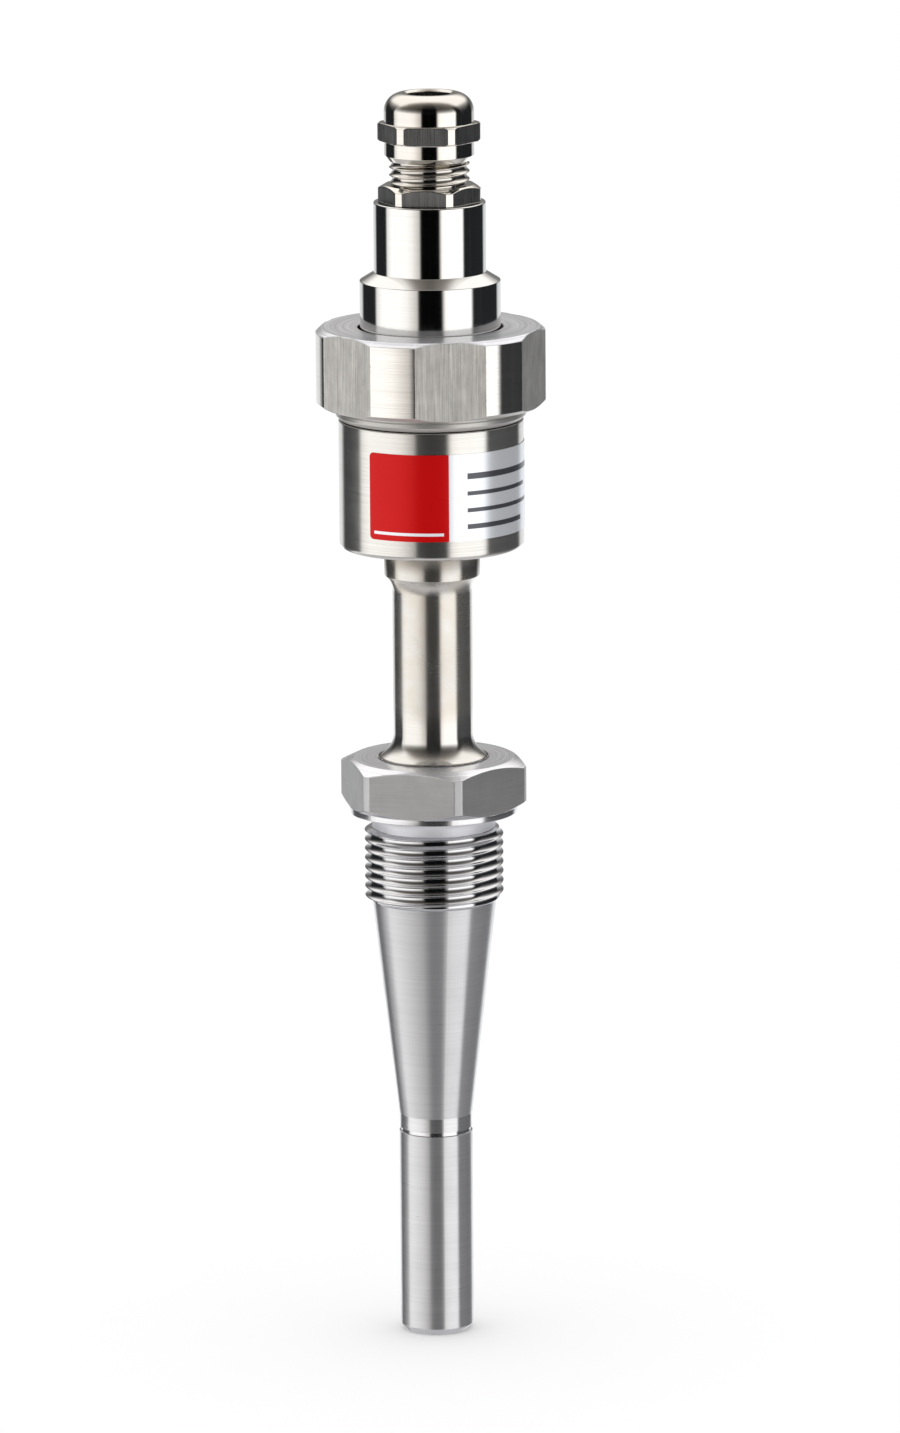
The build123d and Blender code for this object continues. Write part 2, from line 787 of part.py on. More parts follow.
def insert_springs():
    """Two compression springs that press the insert's tip on the floor of the well."""
    springs = []
    rise = spring_length - spring_wire
    for x, y in mounting_screw_places():
        path = Pos(x, y, plate_top + spring_wire / 2) * Helix(
            rise / spring_turns, rise, spring_mean_diameter / 2
        )
        section = Plane(origin=path @ 0, z_dir=path % 0) * Circle(spring_wire / 2)
        springs.append(sweep(section, path=path))
    return springs


def earth_screw():
    """Earth screw with a slotted head on the housing floor."""
    x, y = earth_place()
    seat = housing_floor_top + earth_washer_thickness
    top = seat + earth_screw_head_height
    screw = drilled(earth_screw_diameter / 2, housing_floor_top - mounting_screw_engagement, seat, x, y)
    screw += drilled(earth_screw_head / 2, seat, top, x, y)
    return slotted(screw, top, earth_screw_head * 2, x, y, 70.0)


def earth_washer():
    """Flat washer under the earth screw."""
    x, y = earth_place()
    top = housing_floor_top + earth_washer_thickness
    washer = drilled(earth_washer_diameter / 2, housing_floor_top, top, x, y)
    return washer - drilled(earth_screw_diameter / 2 + seal_clearance, housing_floor_top, top, x, y)


pieces = {
    "thermowell": thermowell,
    "neck_tube": neck_tube,
    "housing_body": housing_body,
    "label": label,
    "union_nut": union_nut,
    "head_sleeve": head_sleeve,
    "head_o_ring": head_o_ring,
    "gland_o_ring": gland_o_ring,
    "gland_body": gland_body,
    "gland_clamp_cage": gland_clamp_cage,
    "gland_seal": gland_seal,
    "gland_dome_nut": gland_dome_nut,
    "insert_sheath": insert_sheath,
    "sensor_element": sensor_element,
    "insulator_rod": insulator_rod,
    "lead_wires": lead_wires,
    "insert_plate": insert_plate,
    "terminal_block": terminal_block,
    "terminal_clamps": terminal_clamps,
    "terminal_screws": terminal_screws,
    "block_screws": block_screws,
    "mounting_screws": mounting_screws,
    "insert_springs": insert_springs,
    "earth_screw": earth_screw,
    "earth_washer": earth_washer,
}

os.makedirs("parts", exist_ok=True)
for name, build in pieces.items():
    made = build()
    if isinstance(made, list):
        made = Compound(children=[solid for item in made for solid in item.solids()])
    export_step(made, f"parts/{name}.step")
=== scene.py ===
"""Looks of a screw-in temperature probe with a small round connection head.

The packed CAD model is the fixed frame. The turned pieces are skinned again here with broken edges
and real threads, and every piece gets its finish: turned, drawn and polished steel, nickel, foil.
All lengths are in metres, and angles of corners are counted from the front towards +X.
"""

import math
from collections import namedtuple

import bmesh
import bpy
from bpy.props import FloatProperty, FloatVectorProperty, IntProperty, PointerProperty
from mathutils import Euler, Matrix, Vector, noise


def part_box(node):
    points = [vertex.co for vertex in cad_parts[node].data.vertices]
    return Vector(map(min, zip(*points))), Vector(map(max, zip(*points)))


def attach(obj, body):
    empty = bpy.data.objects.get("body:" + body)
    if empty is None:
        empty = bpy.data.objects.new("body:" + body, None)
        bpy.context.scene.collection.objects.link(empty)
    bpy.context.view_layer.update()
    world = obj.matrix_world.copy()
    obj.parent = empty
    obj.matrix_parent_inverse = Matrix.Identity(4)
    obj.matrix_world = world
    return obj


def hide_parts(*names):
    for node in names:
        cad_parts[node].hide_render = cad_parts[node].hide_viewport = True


bl_info = {
    "name": "Temperature probe with connection head",
    "version": (1, 0, 0),
    "blender": (4, 5, 0),
    "location": "View3D > Sidebar > Probe",
    "description": "Skins a temperature probe, gives its pieces their finishes and sets the studio",
    "category": "Add Mesh",
}

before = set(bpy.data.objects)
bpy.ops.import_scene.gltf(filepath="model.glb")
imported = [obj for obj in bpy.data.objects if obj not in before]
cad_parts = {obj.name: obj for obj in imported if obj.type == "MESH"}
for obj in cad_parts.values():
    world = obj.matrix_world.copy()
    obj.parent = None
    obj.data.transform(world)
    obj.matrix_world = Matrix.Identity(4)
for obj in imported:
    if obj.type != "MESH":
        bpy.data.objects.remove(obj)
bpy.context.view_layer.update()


def mm(value):
    """Millimetres as metres."""
    return value / 1000.0


def low(node):
    """Height of a CAD node's lowest point."""
    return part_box(node)[0].z


def high(node):
    """Height of a CAD node's highest point."""
    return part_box(node)[1].z


def widest(node):
    """Largest radius of a CAD node about the probe's axis."""
    return max(math.hypot(v.co.x, v.co.y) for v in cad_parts[node].data.vertices)


def length(name, default, description):
    """A length that a user may change."""
    return FloatProperty(
        name=name, default=default, description=description, unit="LENGTH", precision=5
    )


def turn(name, degrees, description):
    """An angle that a user may change."""
    return FloatProperty(
        name=name, default=math.radians(degrees), description=description, subtype="ANGLE"
    )


def colour(name, value, description):
    """A colour that a user may change."""
    return FloatVectorProperty(
        name=name, default=value, description=description, subtype="COLOR", size=3, min=0.0, max=4.0
    )


class ProbeEdges(bpy.types.PropertyGroup):
    """How finely the skins are divided and how far their edges are broken."""

    columns: IntProperty(name="Columns", default=144, min=24, description="Round a turned piece")
    soft: length("Broken edge", mm(0.12), "Usual round on a machined edge")
    strip: length("Hexagon edge", mm(0.1), "Half the width of the round between a flat and its corner")


class WellSizes(bpy.types.PropertyGroup):
    """Thermowell: hexagon, process thread, cone and tip."""

    bore: length("Bore", mm(3.25), "Radius of the drilled hole")
    floor: length("Tip wall", mm(5.0), "Metal below the drilled hole")
    hex_flat: length("Hexagon flat", mm(16.0), "Distance from the axis to a flat")
    hex_turned: length("Hexagon turned radius", widest("thermowell"), "Radius of the round corners")
    hex_corner: turn("Hexagon corner", 15.0, "Direction of one corner")
    hex_top: length("Top face", mm(15.3), "Radius of the face inside the upper chamfer")
    upper_chamfer: length("Upper chamfer", mm(1.3), "Height of the upper chamfer")
    lower_chamfer: length("Lower chamfer", mm(1.25), "Height of the lower chamfer")
    seat: length("Sealing face", mm(16.1), "Radius of the sealing face")
    seat_height: length("Sealing land", mm(1.2), "Height of the round land over the sealing face")
    undercut: length("Undercut", mm(11.7), "Radius of the run-out behind the thread")
    undercut_length: length("Undercut length", mm(3.0), "Length of the run-out")
    undercut_fillet: length("Undercut fillet", mm(1.7), "Hollow round between run-out and sealing face")
    thread: length("Thread", mm(13.22), "Radius over the thread's crests")
    thread_depth: length("Thread depth", mm(0.78), "Depth of the thread")
    thread_pitch: length("Thread pitch", mm(1.814), "Rise of the thread in one turn")
    thread_front: length("Thread start", mm(0.37), "Height of a crest's lower edge at the front")
    thread_end: length("Thread end", mm(16.3), "Depth of the last full crest below the sealing face")
    cone_top: length("Cone top", mm(11.83), "Radius where the cone begins")
    cone_start: length("Cone start", mm(17.3), "Depth of the cone's upper end below the sealing face")
    cone_end: length("Cone end", mm(59.1), "Depth of the cone's lower end below the sealing face")
    tip: length("Tip", mm(7.0), "Radius of the tip")
    groove: length("Groove", mm(61.75), "Depth of the fine groove below the sealing face")
    groove_width: length("Groove width", mm(0.85), "Width of the fine groove")
    groove_depth: length("Groove depth", mm(0.3), "Depth of the fine groove")
    tip_chamfer: length("Tip chamfer", mm(1.2), "Chamfer at the very end")


class NeckSizes(bpy.types.PropertyGroup):
    """Neck tube with its flared weld foot and its collar."""

    bore: length("Bore", mm(4.5), "Inner radius")
    tube: length("Tube", mm(7.575), "Outer radius")
    foot: length("Foot", widest("neck_tube"), "Radius of the flared foot")
    foot_height: length("Foot height", mm(4.8), "Height of the flare")
    collar: length("Collar", mm(9.07), "Radius of the collar")
    collar_height: length("Collar height", mm(5.9), "Height of the collar")
    collar_fillet: length("Collar fillet", mm(3.0), "Height of the fillet under the collar")
    collar_chamfer: length("Collar chamfer", mm(0.4), "Chamfer at the collar's lower edge")
    bead: length("Weld bead", mm(0.16), "How far the weld's edge stands out")


class HousingSizes(bpy.types.PropertyGroup):
    """Round housing and its label."""

    outer: length("Housing", mm(17.5), "Outer radius")
    inner: length("Bore", mm(14.5), "Inner radius")
    floor: length("Floor", mm(4.0), "Thickness of the floor")
    edge: length("Lower edge", mm(0.9), "Round of the lower edge")
    skirt: length("Skirt", mm(24.4), "Height from the lower face to the shoulder")
    thread: length("Thread", mm(16.5), "Radius over the thread's crests")
    thread_depth: length("Thread depth", mm(0.6), "Depth of the thread")
    thread_pitch: length("Thread pitch", mm(1.5), "Rise of the thread in one turn")
    label_thickness: length("Label thickness", mm(0.12), "Thickness of the foil")
    label_left: turn("Label left", -41.0, "Left end of the label")
    label_right: turn("Label right", 122.0, "Right end of the label")
    label_split: turn("Label split", 10.8, "Where the red field ends and the white one begins")
    label_corner: length("Label corner", mm(0.8), "Round of the label's corners")


class NutSizes(bpy.types.PropertyGroup):
    """Union nut."""

    flat: length("Flat", mm(20.6), "Distance from the axis to a flat")
    turned: length("Turned radius", widest("union_nut") - mm(0.15), "Radius of the round corners")
    corner: turn("Corner", 40.5, "Direction of one corner")
    bore: length("Bore", mm(16.54), "Radius of the threaded bore")
    hole: length("Hole", mm(13.75), "Radius of the hole that the sleeve passes")
    top: length("Top face", mm(20.65), "Radius of the face inside the upper chamfer")
    top_chamfer: length("Upper chamfer", mm(0.85), "Height of the upper chamfer")
    low_chamfer: length("Lower chamfer", mm(0.8), "Height of the lower chamfer")
    low_width: length("Lower chamfer width", mm(1.12), "Width of the lower chamfer")
    wall: length("Top wall", mm(2.3), "Thickness over the sleeve's flange")
    lip: length("Lip", mm(18.05), "Radius of the lower lip")
    lip_height: length("Lip height", mm(2.5), "Height of the lower lip")
    lip_round: length("Lip round", mm(0.8), "Chamfer of the lower lip")


class SleeveSizes(bpy.types.PropertyGroup):
    """Stepped head sleeve."""

    spigot: length("Spigot", mm(14.45), "Radius of the spigot")
    ring_groove: length("Ring groove", mm(13.07), "Radius of the O-ring's groove")
    flange: length("Flange", mm(16.0), "Radius of the flange under the union nut")
    flange_height: length("Flange height", mm(2.96), "Thickness of the flange")
    lower: length("Lower step", mm(13.3), "Radius of the lower step")
    lower_height: length("Lower step height", mm(14.06), "From the housing's rim to the cone")
    cone: length("Cone", mm(1.65), "Height of the cone between the steps")
    upper: length("Upper step", mm(10.6), "Radius of the upper step")
    bore: length("Bore", mm(10.5), "Radius of the wide bore")
    upper_bore: length("Upper bore", mm(7.0), "Radius of the narrow bore")
    tapped: length("Tapped hole", mm(7.99), "Radius of the gland's hole")
    recess: length("Recess", mm(8.5), "Radius of the recess for the gland's ring")


class GlandSizes(bpy.types.PropertyGroup):
    """Cable gland body and dome nut."""

    lower_thread: length("Lower thread", mm(7.95), "Radius of the thread in the sleeve")
    groove: length("Neck groove", mm(7.2), "Radius of the groove for the ring")
    flat: length("Flat", mm(8.75), "Distance from the axis to a flat")
    turned: length("Turned radius", widest("gland_body"), "Radius of the round corners")
    corner: turn("Gland corner", 23.0, "Direction of one corner of the gland's hexagon")
    hex_height: length("Hexagon height", mm(3.3), "Height of the gland's hexagon")
    hex_chamfer: length("Hexagon chamfer", mm(0.75), "Height of its upper chamfer")
    hex_chamfer_width: length("Hexagon chamfer width", mm(1.3), "Width of its upper chamfer")
    thread: length("Upper thread", mm(7.6), "Radius over the upper thread's crests")
    thread_depth: length("Upper thread depth", mm(0.6), "Depth of the upper thread")
    thread_pitch: length("Upper thread pitch", mm(1.5), "Rise of the upper thread in one turn")
    thread_front: length("Upper thread start", mm(0.84), "Height of a crest's lower edge at the front")
    passage: length("Passage", mm(4.6), "Radius of the cable's passage")
    socket: length("Socket", mm(6.0), "Radius of the clamping cage's socket")
    socket_depth: length("Socket depth", mm(7.13), "Depth of that socket from the rim")
    dome: length("Dome", mm(8.5), "Radius of the dome and skirt")
    dome_round: length("Dome round", mm(3.5), "Round of the dome's shoulder")
    dome_corner: turn("Dome nut corner", 26.0, "Direction of one corner of the dome nut's hexagon")
    skirt: length("Skirt", mm(3.65), "Height of the skirt under the flange")
    skirt_chamfer: length("Skirt chamfer", mm(1.0), "Height of the skirt's chamfer")
    skirt_end: length("Skirt end", mm(7.75), "Radius of the skirt's lower end")
    flange_height: length("Flange height", mm(3.47), "Height of the hexagon flange")
    flange_chamfer: length("Flange chamfer", mm(0.32), "Chamfer of the hexagon flange")
    collar: length("Collar", mm(2.1), "Height of the round collar over the flange")
    entry: length("Entry", mm(4.35), "Radius of the cable entry")
    entry_length: length("Entry length", mm(1.6), "Length of the cable entry")
    nut_bore: length("Nut bore", mm(6.2), "Radius over the clamping cage")
    nut_thread: length("Nut thread", mm(7.64), "Radius of the dome nut's threaded bore")
    nut_thread_depth: length("Nut thread depth", mm(6.8), "Depth of the dome nut's threaded bore")


class FinishColours(bpy.types.PropertyGroup):
    """Colours of the finishes."""

    well: colour("Well steel", (0.600, 0.600, 0.610), "Fine-turned steel of the thermowell")
    # Painted light: a lighter, bluer copy of the steel for faces that look up and for the undercut,
    # standing in for the bluish light they mirror
    lit_top_steel: colour("Lit top steel", (0.585, 0.59, 0.665), "Turned faces that look up, and the undercut")
    body: colour("Body steel", (0.62, 0.605, 0.575), "Turned steel of the neck, housing and union nut")
    polished: colour("Polished steel", (0.66, 0.655, 0.64), "Polished steel of the head sleeve")
    nickel: colour("Nickel", (0.64, 0.615, 0.575), "Nickel plating of the gland")
    straw: colour("Heat tint", (0.60, 0.56, 0.50), "Warm patches along the neck")
    label_red: colour("Label red", (0.54, 0.001, 0.0015), "Red field of the label")
    label_white: colour("Label white", (0.80, 0.82, 0.86), "White field of the label")
    label_grey: colour("Label bars", (0.09, 0.092, 0.105), "Plain bars on the label")
    rubber: colour("Rubber", (0.020, 0.020, 0.021), "Seals")
    plastic: colour("Plastic", (0.10, 0.10, 0.10), "Clamping cage")
    ceramic: colour("Ceramic", (0.74, 0.70, 0.62), "Terminal block and insulator")
    brass: colour("Brass", (0.70, 0.50, 0.24), "Terminal clamps")
    floor: colour("Floor", (0.93, 0.93, 0.93), "Studio floor")


class StudioSettings(bpy.types.PropertyGroup):
    """Camera and light."""

    distance: length("Camera distance", mm(1815.1), "From the probe's axis, on the level")
    height: length("Camera height", mm(389.0), "Above the sealing face")
    aim: length("Aim height", mm(18.05), "Height on the axis that the camera aims at")
    aside: length("Camera aside", mm(3.2), "How far the camera stands to the right")
    roll: turn("Camera roll", -0.39, "Lean of the camera")
    lens: FloatProperty(name="Lens", default=244.9, description="Focal length in millimetres")
    key: FloatProperty(name="Soft boxes", default=1.55, min=0.0, description="What metal mirrors")
    room: FloatProperty(name="Room light", default=1.12, min=0.0, description="Light on matt surfaces")


# Outlines: a turned piece is drawn as points (radius, height) in order round its section.
# soft is the round on a point's corner, and a free point isn't cut back by the hexagon.
Point = namedtuple("Point", "radius height soft free")
Hexagon = namedtuple("Hexagon", "flat turned corner")
CORNER_POINTS = 3  # points in a corner's round
LEAST_TURN = math.radians(1.5)  # a flatter corner stays as it is
MOST_TURN = math.radians(150)  # a sharper corner is rounded like this one
MOST_SHARE = 0.45  # most of its shorter side that a corner's round takes up
SAME_PLACE = 1e-7
MERGED = 5e-7  # vertices nearer than this become one
CREST = mm(0.1)  # width of a thread's crest
PIPE_FLANK = 27.5  # lean of a pipe thread's flanks, in degrees
METRIC_FLANK = 30.0
HOLLOW_STEPS = 7  # steps in a thread's hollow flank
LOOKS_UP = 0.2  # least z in the normal of a face that looks up
UPRIGHT = 0.02  # most z in the normal of a face on a flat
SAME_WAY = 0.9995  # least part of that normal that points the flat's way


def at(radius, height, soft=None, free=False):
    """A point of an outline, with the usual broken edge unless another is given."""
    if soft is None:
        soft = bpy.context.scene.probe_edges.soft
    return Point(radius, height, soft, free)


def arc(centre, radius, start, end, steps):
    """Points on an arc in the section's plane; angles in degrees from the outward direction."""
    across, up = centre
    points = []
    for step in range(steps + 1):
        angle = math.radians(start + (end - start) * step / steps)
        points.append(at(across + radius * math.cos(angle), up + radius * math.sin(angle), 0.0))
    return points


def arc_through(first, middle, last, steps):
    """Points on the arc through three (radius, height) places."""
    (ax, ay), (bx, by), (cx, cy) = first, middle, last
    scale = 2 * (ax * (by - cy) + bx * (cy - ay) + cx * (ay - by))
    a2, b2, c2 = ax * ax + ay * ay, bx * bx + by * by, cx * cx + cy * cy
    ux = (a2 * (by - cy) + b2 * (cy - ay) + c2 * (ay - by)) / scale
    uy = (a2 * (cx - bx) + b2 * (ax - cx) + c2 * (bx - ax)) / scale
    radius = math.hypot(ax - ux, ay - uy)
    start = math.degrees(math.atan2(ay - uy, ax - ux))
    end = math.degrees(math.atan2(cy - uy, cx - ux))
    if end - start > 180:
        end -= 360
    if end - start < -180:
        end += 360
    return arc((ux, uy), radius, start, end, steps)


def flat_reach(hexagon, angle):
    """Distance from the axis to the hexagon's flats in one direction."""
    if hexagon is None:
        return math.inf
    aside = (angle - hexagon.corner) % math.radians(60) - math.radians(30)
    return hexagon.flat / math.cos(aside)


def cut_back(outline, hexagon, reach, closed):
    """The outline with its points cut back to the flats, and a point where each slope meets them."""
    if hexagon is None:
        return outline
    cut = []
    for number, point in enumerate(outline):
        radius = point.radius if point.free else min(point.radius, reach)
        cut.append(Point(radius, point.height, point.soft, point.free))
        if number + 1 == len(outline) and not closed:
            break
        after = outline[(number + 1) % len(outline)]
        slope = after.radius - point.radius
        outside = max(point.radius, after.radius) > hexagon.flat
        if outside and abs(slope) > SAME_PLACE and not (point.free or after.free):
            share = min(1.0, max(0.0, (reach - point.radius) / slope))
            radius = min(point.radius + share * slope, reach)
            height = point.height + share * (after.height - point.height)
            cut.append(Point(radius, height, max(point.soft, after.soft), False))
    return cut


def join_same(outline):
    """Groups of points in one place, as (place, soft, number of points in the skin)."""
    groups = []
    for point in outline:
        count = CORNER_POINTS if point.soft else 1
        place = Vector((point.radius, point.height))
        if groups and (groups[-1][0] - place).length < SAME_PLACE:
            groups[-1][1] = max(groups[-1][1], point.soft)
            groups[-1][2] += count
        else:
            groups.append([place, point.soft, count])
    return groups


def soften(outline, closed):
    """The outline's points with every corner rounded, each as (radius, height, is it on a round)."""
    groups = join_same(outline)
    total = len(groups)
    places = [group[0] for group in groups]
    turns = []
    for number in range(total):
        if not closed and number in (0, total - 1):
            turns.append(math.pi)
            continue
        back = places[number] - places[number - 1]
        ahead = places[(number + 1) % total] - places[number]
        turns.append(back.angle(ahead))
    corners = [number for number in range(total) if turns[number] > LEAST_TURN]
    cuts = {}
    for order, number in enumerate(corners):
        before = places[corners[order - 1]]
        after = places[corners[(order + 1) % len(corners)]]
        room = MOST_SHARE * min((places[number] - before).length, (places[number] - after).length)
        ending = not closed and number in (0, total - 1)
        wanted = groups[number][1] * math.tan(min(turns[number], MOST_TURN) / 2)
        cuts[number] = 0.0 if ending else min(wanted, room)
    points = []
    for number, (place, _, count) in enumerate(groups):
        if number in cuts:
            cut = cuts[number]
            if cut == 0.0:
                points += [(place.x, place.y, 0.0)] * count
                continue
            start = place + (places[number - 1] - place).normalized() * cut
            end = place + (places[(number + 1) % total] - place).normalized() * cut
            for step in range(count):
                share = step / (count - 1)
                spot = start.lerp(place, share).lerp(place.lerp(end, share), share)
                points.append((spot.x, spot.y, 1.0 if step == count // 2 else 0.0))
        else:
            before = max((c for c in corners if c < number), default=corners[-1])
            after = min((c for c in corners if c > number), default=corners[0])
            along = (places[after] - places[before]).normalized()
            spot = place
            if (place - places[before]).length < cuts[before]:
                spot = places[before] + along * cuts[before]
            elif (places[after] - place).length < cuts[after]:
                spot = places[after] - along * cuts[after]
            points += [(spot.x, spot.y, 0.0)] * count
    return points


def column_angles(hexagon):
    """Directions of the skin's columns, with three close ones on each edge between flat and round."""
    edges = bpy.context.scene.probe_edges
    angles = [math.tau * number / edges.columns for number in range(edges.columns)]
    if hexagon is None:
        return angles
    aside = math.acos(hexagon.flat / hexagon.turned)
    step = edges.strip / hexagon.turned
    meets = []
    for side in range(6):
        middle = hexagon.corner + math.radians(30 + 60 * side)
        meets += [(middle - aside) % math.tau, (middle + aside) % math.tau]

    def away(angle):
        """The angle to the nearest edge."""
        return min(abs((angle - meet + math.pi) % math.tau - math.pi) for meet in meets)

    clear = [angle for angle in angles if away(angle) > 2 * step]
    close = [(meet + side * step) % math.tau for meet in meets for side in (-1, 0, 1)]
    return sorted(clear + close)


def place_on(angle, radius, height):
    """A point at an angle from the front, which looks along -Y."""
    return Vector((radius * math.sin(angle), -radius * math.cos(angle), height))


def weave(mesh, columns, closed_rows=False, shift=0):
    """Faces between neighbouring columns of vertices, with the rows shifted at the seam."""
    for number, here in enumerate(columns):
        last = number + 1 == len(columns)
        there = columns[0] if last else columns[number + 1]
        slip = shift if last else 0
        rows = len(here)
        for row in range(rows if closed_rows else rows - 1):
            above = (row + 1) % rows
            if closed_rows:
                corners = [here[row], there[row], there[above], here[above]]
            else:
                if not (0 <= row + slip and row + 1 + slip < rows):
                    continue
                corners = [here[row], there[row + slip], there[row + 1 + slip], here[row + 1]]
            if len(set(corners)) == 4:
                mesh.faces.new(corners)


def lathe(mesh, outline, angles, hexagon=None, closed=False):
    """Skin an outline round the axis, cut back to a hexagon's flats where one is given."""
    edge_layer = mesh.verts.layers.float["edge"]
    columns = []
    for angle in angles:
        reach = flat_reach(hexagon, angle)
        cut = cut_back(outline, hexagon, reach, closed)
        on_edge = hexagon is not None and abs(reach - hexagon.turned) < SAME_PLACE
        column = []
        for radius, height, rounded in soften(cut, closed):
            vertex = mesh.verts.new(place_on(angle, radius, height))
            # Middles of rounds and the hexagon's edges get the mark for the painted edge highlight
            on_corner = on_edge and radius > 0.995 * hexagon.flat
            vertex[edge_layer] = max(rounded, 1.0 if on_corner else 0.0)
            column.append(vertex)
        columns.append(column)
    weave(mesh, columns, closed_rows=closed)


def thread_section(depth, pitch, flank):
    """One turn of a thread in its section, as (height in the turn, depth below the crest).

    From the narrow crest upward: a flank that runs hollow into the root, the root and a straight flank.
    """
    steep = math.radians(90 - flank)
    hollow = depth / (1 - math.cos(steep))
    points = [(0.0, 0.0), (CREST, 0.0)]
    for step in range(1, HOLLOW_STEPS + 1):
        lean = steep * (1 - step / HOLLOW_STEPS)
        height = CREST + hollow * (math.sin(steep) - math.sin(lean))
        points.append((height, depth - hollow * (1 - math.cos(lean))))
    run = depth * math.tan(math.radians(flank))
    points.append((pitch - run, depth))
    points.append((pitch - 0.5 * run, 0.5 * depth))
    return points


def thread(mesh, angles, sizes, flank, low_end, high_end, front=0.0):
    """Skin a right-hand thread between two rings, each given as (radius, height, run-in height).

    front is the height of a crest's lower edge at the front, and the turns count from there.
    """
    edge_layer = mesh.verts.layers.float["edge"]
    crest, depth, pitch = sizes.thread, sizes.thread_depth, sizes.thread_pitch
    section = thread_section(depth, pitch, flank)
    (low_radius, low_height, low_run), (high_radius, high_height, high_run) = low_end, high_end
    turns = math.ceil((high_height - low_height) / pitch) + 1
    start = (front - low_height) % pitch
    columns = []
    for angle in angles:
        rise = pitch * angle / math.tau + start
        column = []
        for number in range(-2, turns + 1):
            for step, (up, deep) in enumerate(section):
                height = low_height + rise + number * pitch + up
                height = min(high_height, max(low_height, height))
                radius = crest - deep
                low_share = min(1.0, (height - low_height) / low_run)
                high_share = min(1.0, (high_height - height) / high_run)
                radius = min(radius, low_radius + (crest - low_radius) * low_share)
                radius = min(radius, high_radius + (crest - high_radius) * high_share)
                vertex = mesh.verts.new(place_on(angle, radius, height))
                # Crests get the mark for the painted edge highlight
                vertex[edge_layer] = 1.0 if step in (0, 1) and radius > crest - 0.2 * depth else 0.0
                column.append(vertex)
        columns.append(column)
    weave(mesh, columns, shift=len(section))


def start_skin():
    """An empty mesh with the layer that marks broken edges and crests for the painted edge highlight.
    """
    mesh = bmesh.new()
    mesh.verts.layers.float.new("edge")
    return mesh


def add_skin(mesh, name, body, node, finishes, choose=None):
    """Close a skin and make it a piece on its body and material slot, in place of its CAD node.

    choose gives a face's finish by its centre and normal, and without it all have the first one.
    """
    bmesh.ops.remove_doubles(mesh, verts=mesh.verts, dist=MERGED)
    bmesh.ops.dissolve_degenerate(mesh, edges=mesh.edges, dist=SAME_PLACE)
    bmesh.ops.recalc_face_normals(mesh, faces=mesh.faces)
    for face in mesh.faces:
        face.smooth = True
        if choose:
            face.material_index = finishes.index(choose(face.calc_center_median(), face.normal))
    data = bpy.data.meshes.new(name)
    mesh.to_mesh(data)
    mesh.free()
    # Large faces weigh more in the normals, which keeps flats flat up to their broken edges
    weights = [Vector() for _ in data.vertices]
    for face in data.polygons:
        push = face.normal * face.area
        for vertex in face.vertices:
            weights[vertex] += push
    data.normals_split_custom_set_from_vertices([weight.normalized() for weight in weights])
    for look in finishes:
        data.materials.append(finish(look))
    piece = bpy.data.objects.new(name, data)
    bpy.context.scene.collection.objects.link(piece)
    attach(piece, body)
    if node:
        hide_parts(node)


def on_flat(hexagon, centre, normal):
    """Is a face with this centre and normal on one of the hexagon's flats?"""
    if abs(normal.z) > UPRIGHT:
        return False
    for side in range(6):
        angle = hexagon.corner + math.radians(30 + 60 * side)
        facing = place_on(angle, 1.0, 0.0)
        if facing.dot(normal) > SAME_WAY and abs(facing.dot(centre) - hexagon.flat) < mm(0.01):
            return True
    return False


def by_flats(hexagon, flats, others):
    """A choice between two finishes: one for the hexagon's flats and one for the rest."""
    return lambda centre, normal: flats if on_flat(hexagon, centre, normal) else others


# Shader effects that more than one finish uses
def new_group(name, inputs, outputs):
    """An empty shader node group of numbers, with its inputs and outputs as seen from inside."""
    group = bpy.data.node_groups.new(name, "ShaderNodeTree")
    for socket, default in inputs.items():
        made = group.interface.new_socket(name=socket, in_out="INPUT", socket_type="NodeSocketFloat")
        made.default_value = default
    for socket in outputs:
        group.interface.new_socket(name=socket, in_out="OUTPUT", socket_type="NodeSocketFloat")
    inside = group.nodes.new("NodeGroupInput")
    outside = group.nodes.new("NodeGroupOutput")
    return group, inside.outputs, outside.inputs


def give(group, outside, **values):
    """Link values to a group's outputs."""
    for socket, value in values.items():
        group.links.new(value, outside[socket])


def feed(tree, value, socket):
    """Link a socket to another, or set it to a number."""
    if isinstance(value, bpy.types.NodeSocket):
        tree.links.new(value, socket)
    else:
        socket.default_value = value


def wire(tree, node, **values):
    """Link or set a node's inputs by name, with _ for a space."""
    for socket, value in values.items():
        feed(tree, value, node.inputs[socket.replace("_", " ")])


def reckon(tree, operation, first, second=0.0, third=0.0, clamp=False):
    """A Math node's result."""
    node = tree.nodes.new("ShaderNodeMath")
    node.operation = operation
    node.use_clamp = clamp
    for value, socket in zip((first, second, third), node.inputs):
        feed(tree, value, socket)
    return node.outputs[0]


def times(tree, first, second, clamp=False):
    """The product of two values."""
    return reckon(tree, "MULTIPLY", first, second, clamp=clamp)


def scaled(tree, values, factor):
    """Several values, each times one factor."""
    return [times(tree, value, factor) for value in values]


def between(tree, value, low_end, high_end, low_value=0.0, high_value=1.0):
    """A value brought smoothly from one range to another."""
    node = tree.nodes.new("ShaderNodeMapRange")
    node.interpolation_type = "SMOOTHSTEP"
    for number, item in enumerate((value, low_end, high_end, low_value, high_value)):
        feed(tree, item, node.inputs[number])
    return node.outputs["Result"]


def split(tree, vector):
    """A vector's x, y and z."""
    apart = tree.nodes.new("ShaderNodeSeparateXYZ")
    tree.links.new(vector, apart.inputs[0])
    return tuple(apart.outputs)


def place_parts(tree):
    """The surface's own x, y, z and radius, in millimetres."""
    spot = tree.nodes.new("ShaderNodeTexCoord").outputs["Object"]
    x, y, z = scaled(tree, split(tree, spot), 1000.0)
    radius = reckon(tree, "SQRT", reckon(tree, "ADD", times(tree, x, x), times(tree, y, y)))
    return x, y, z, radius


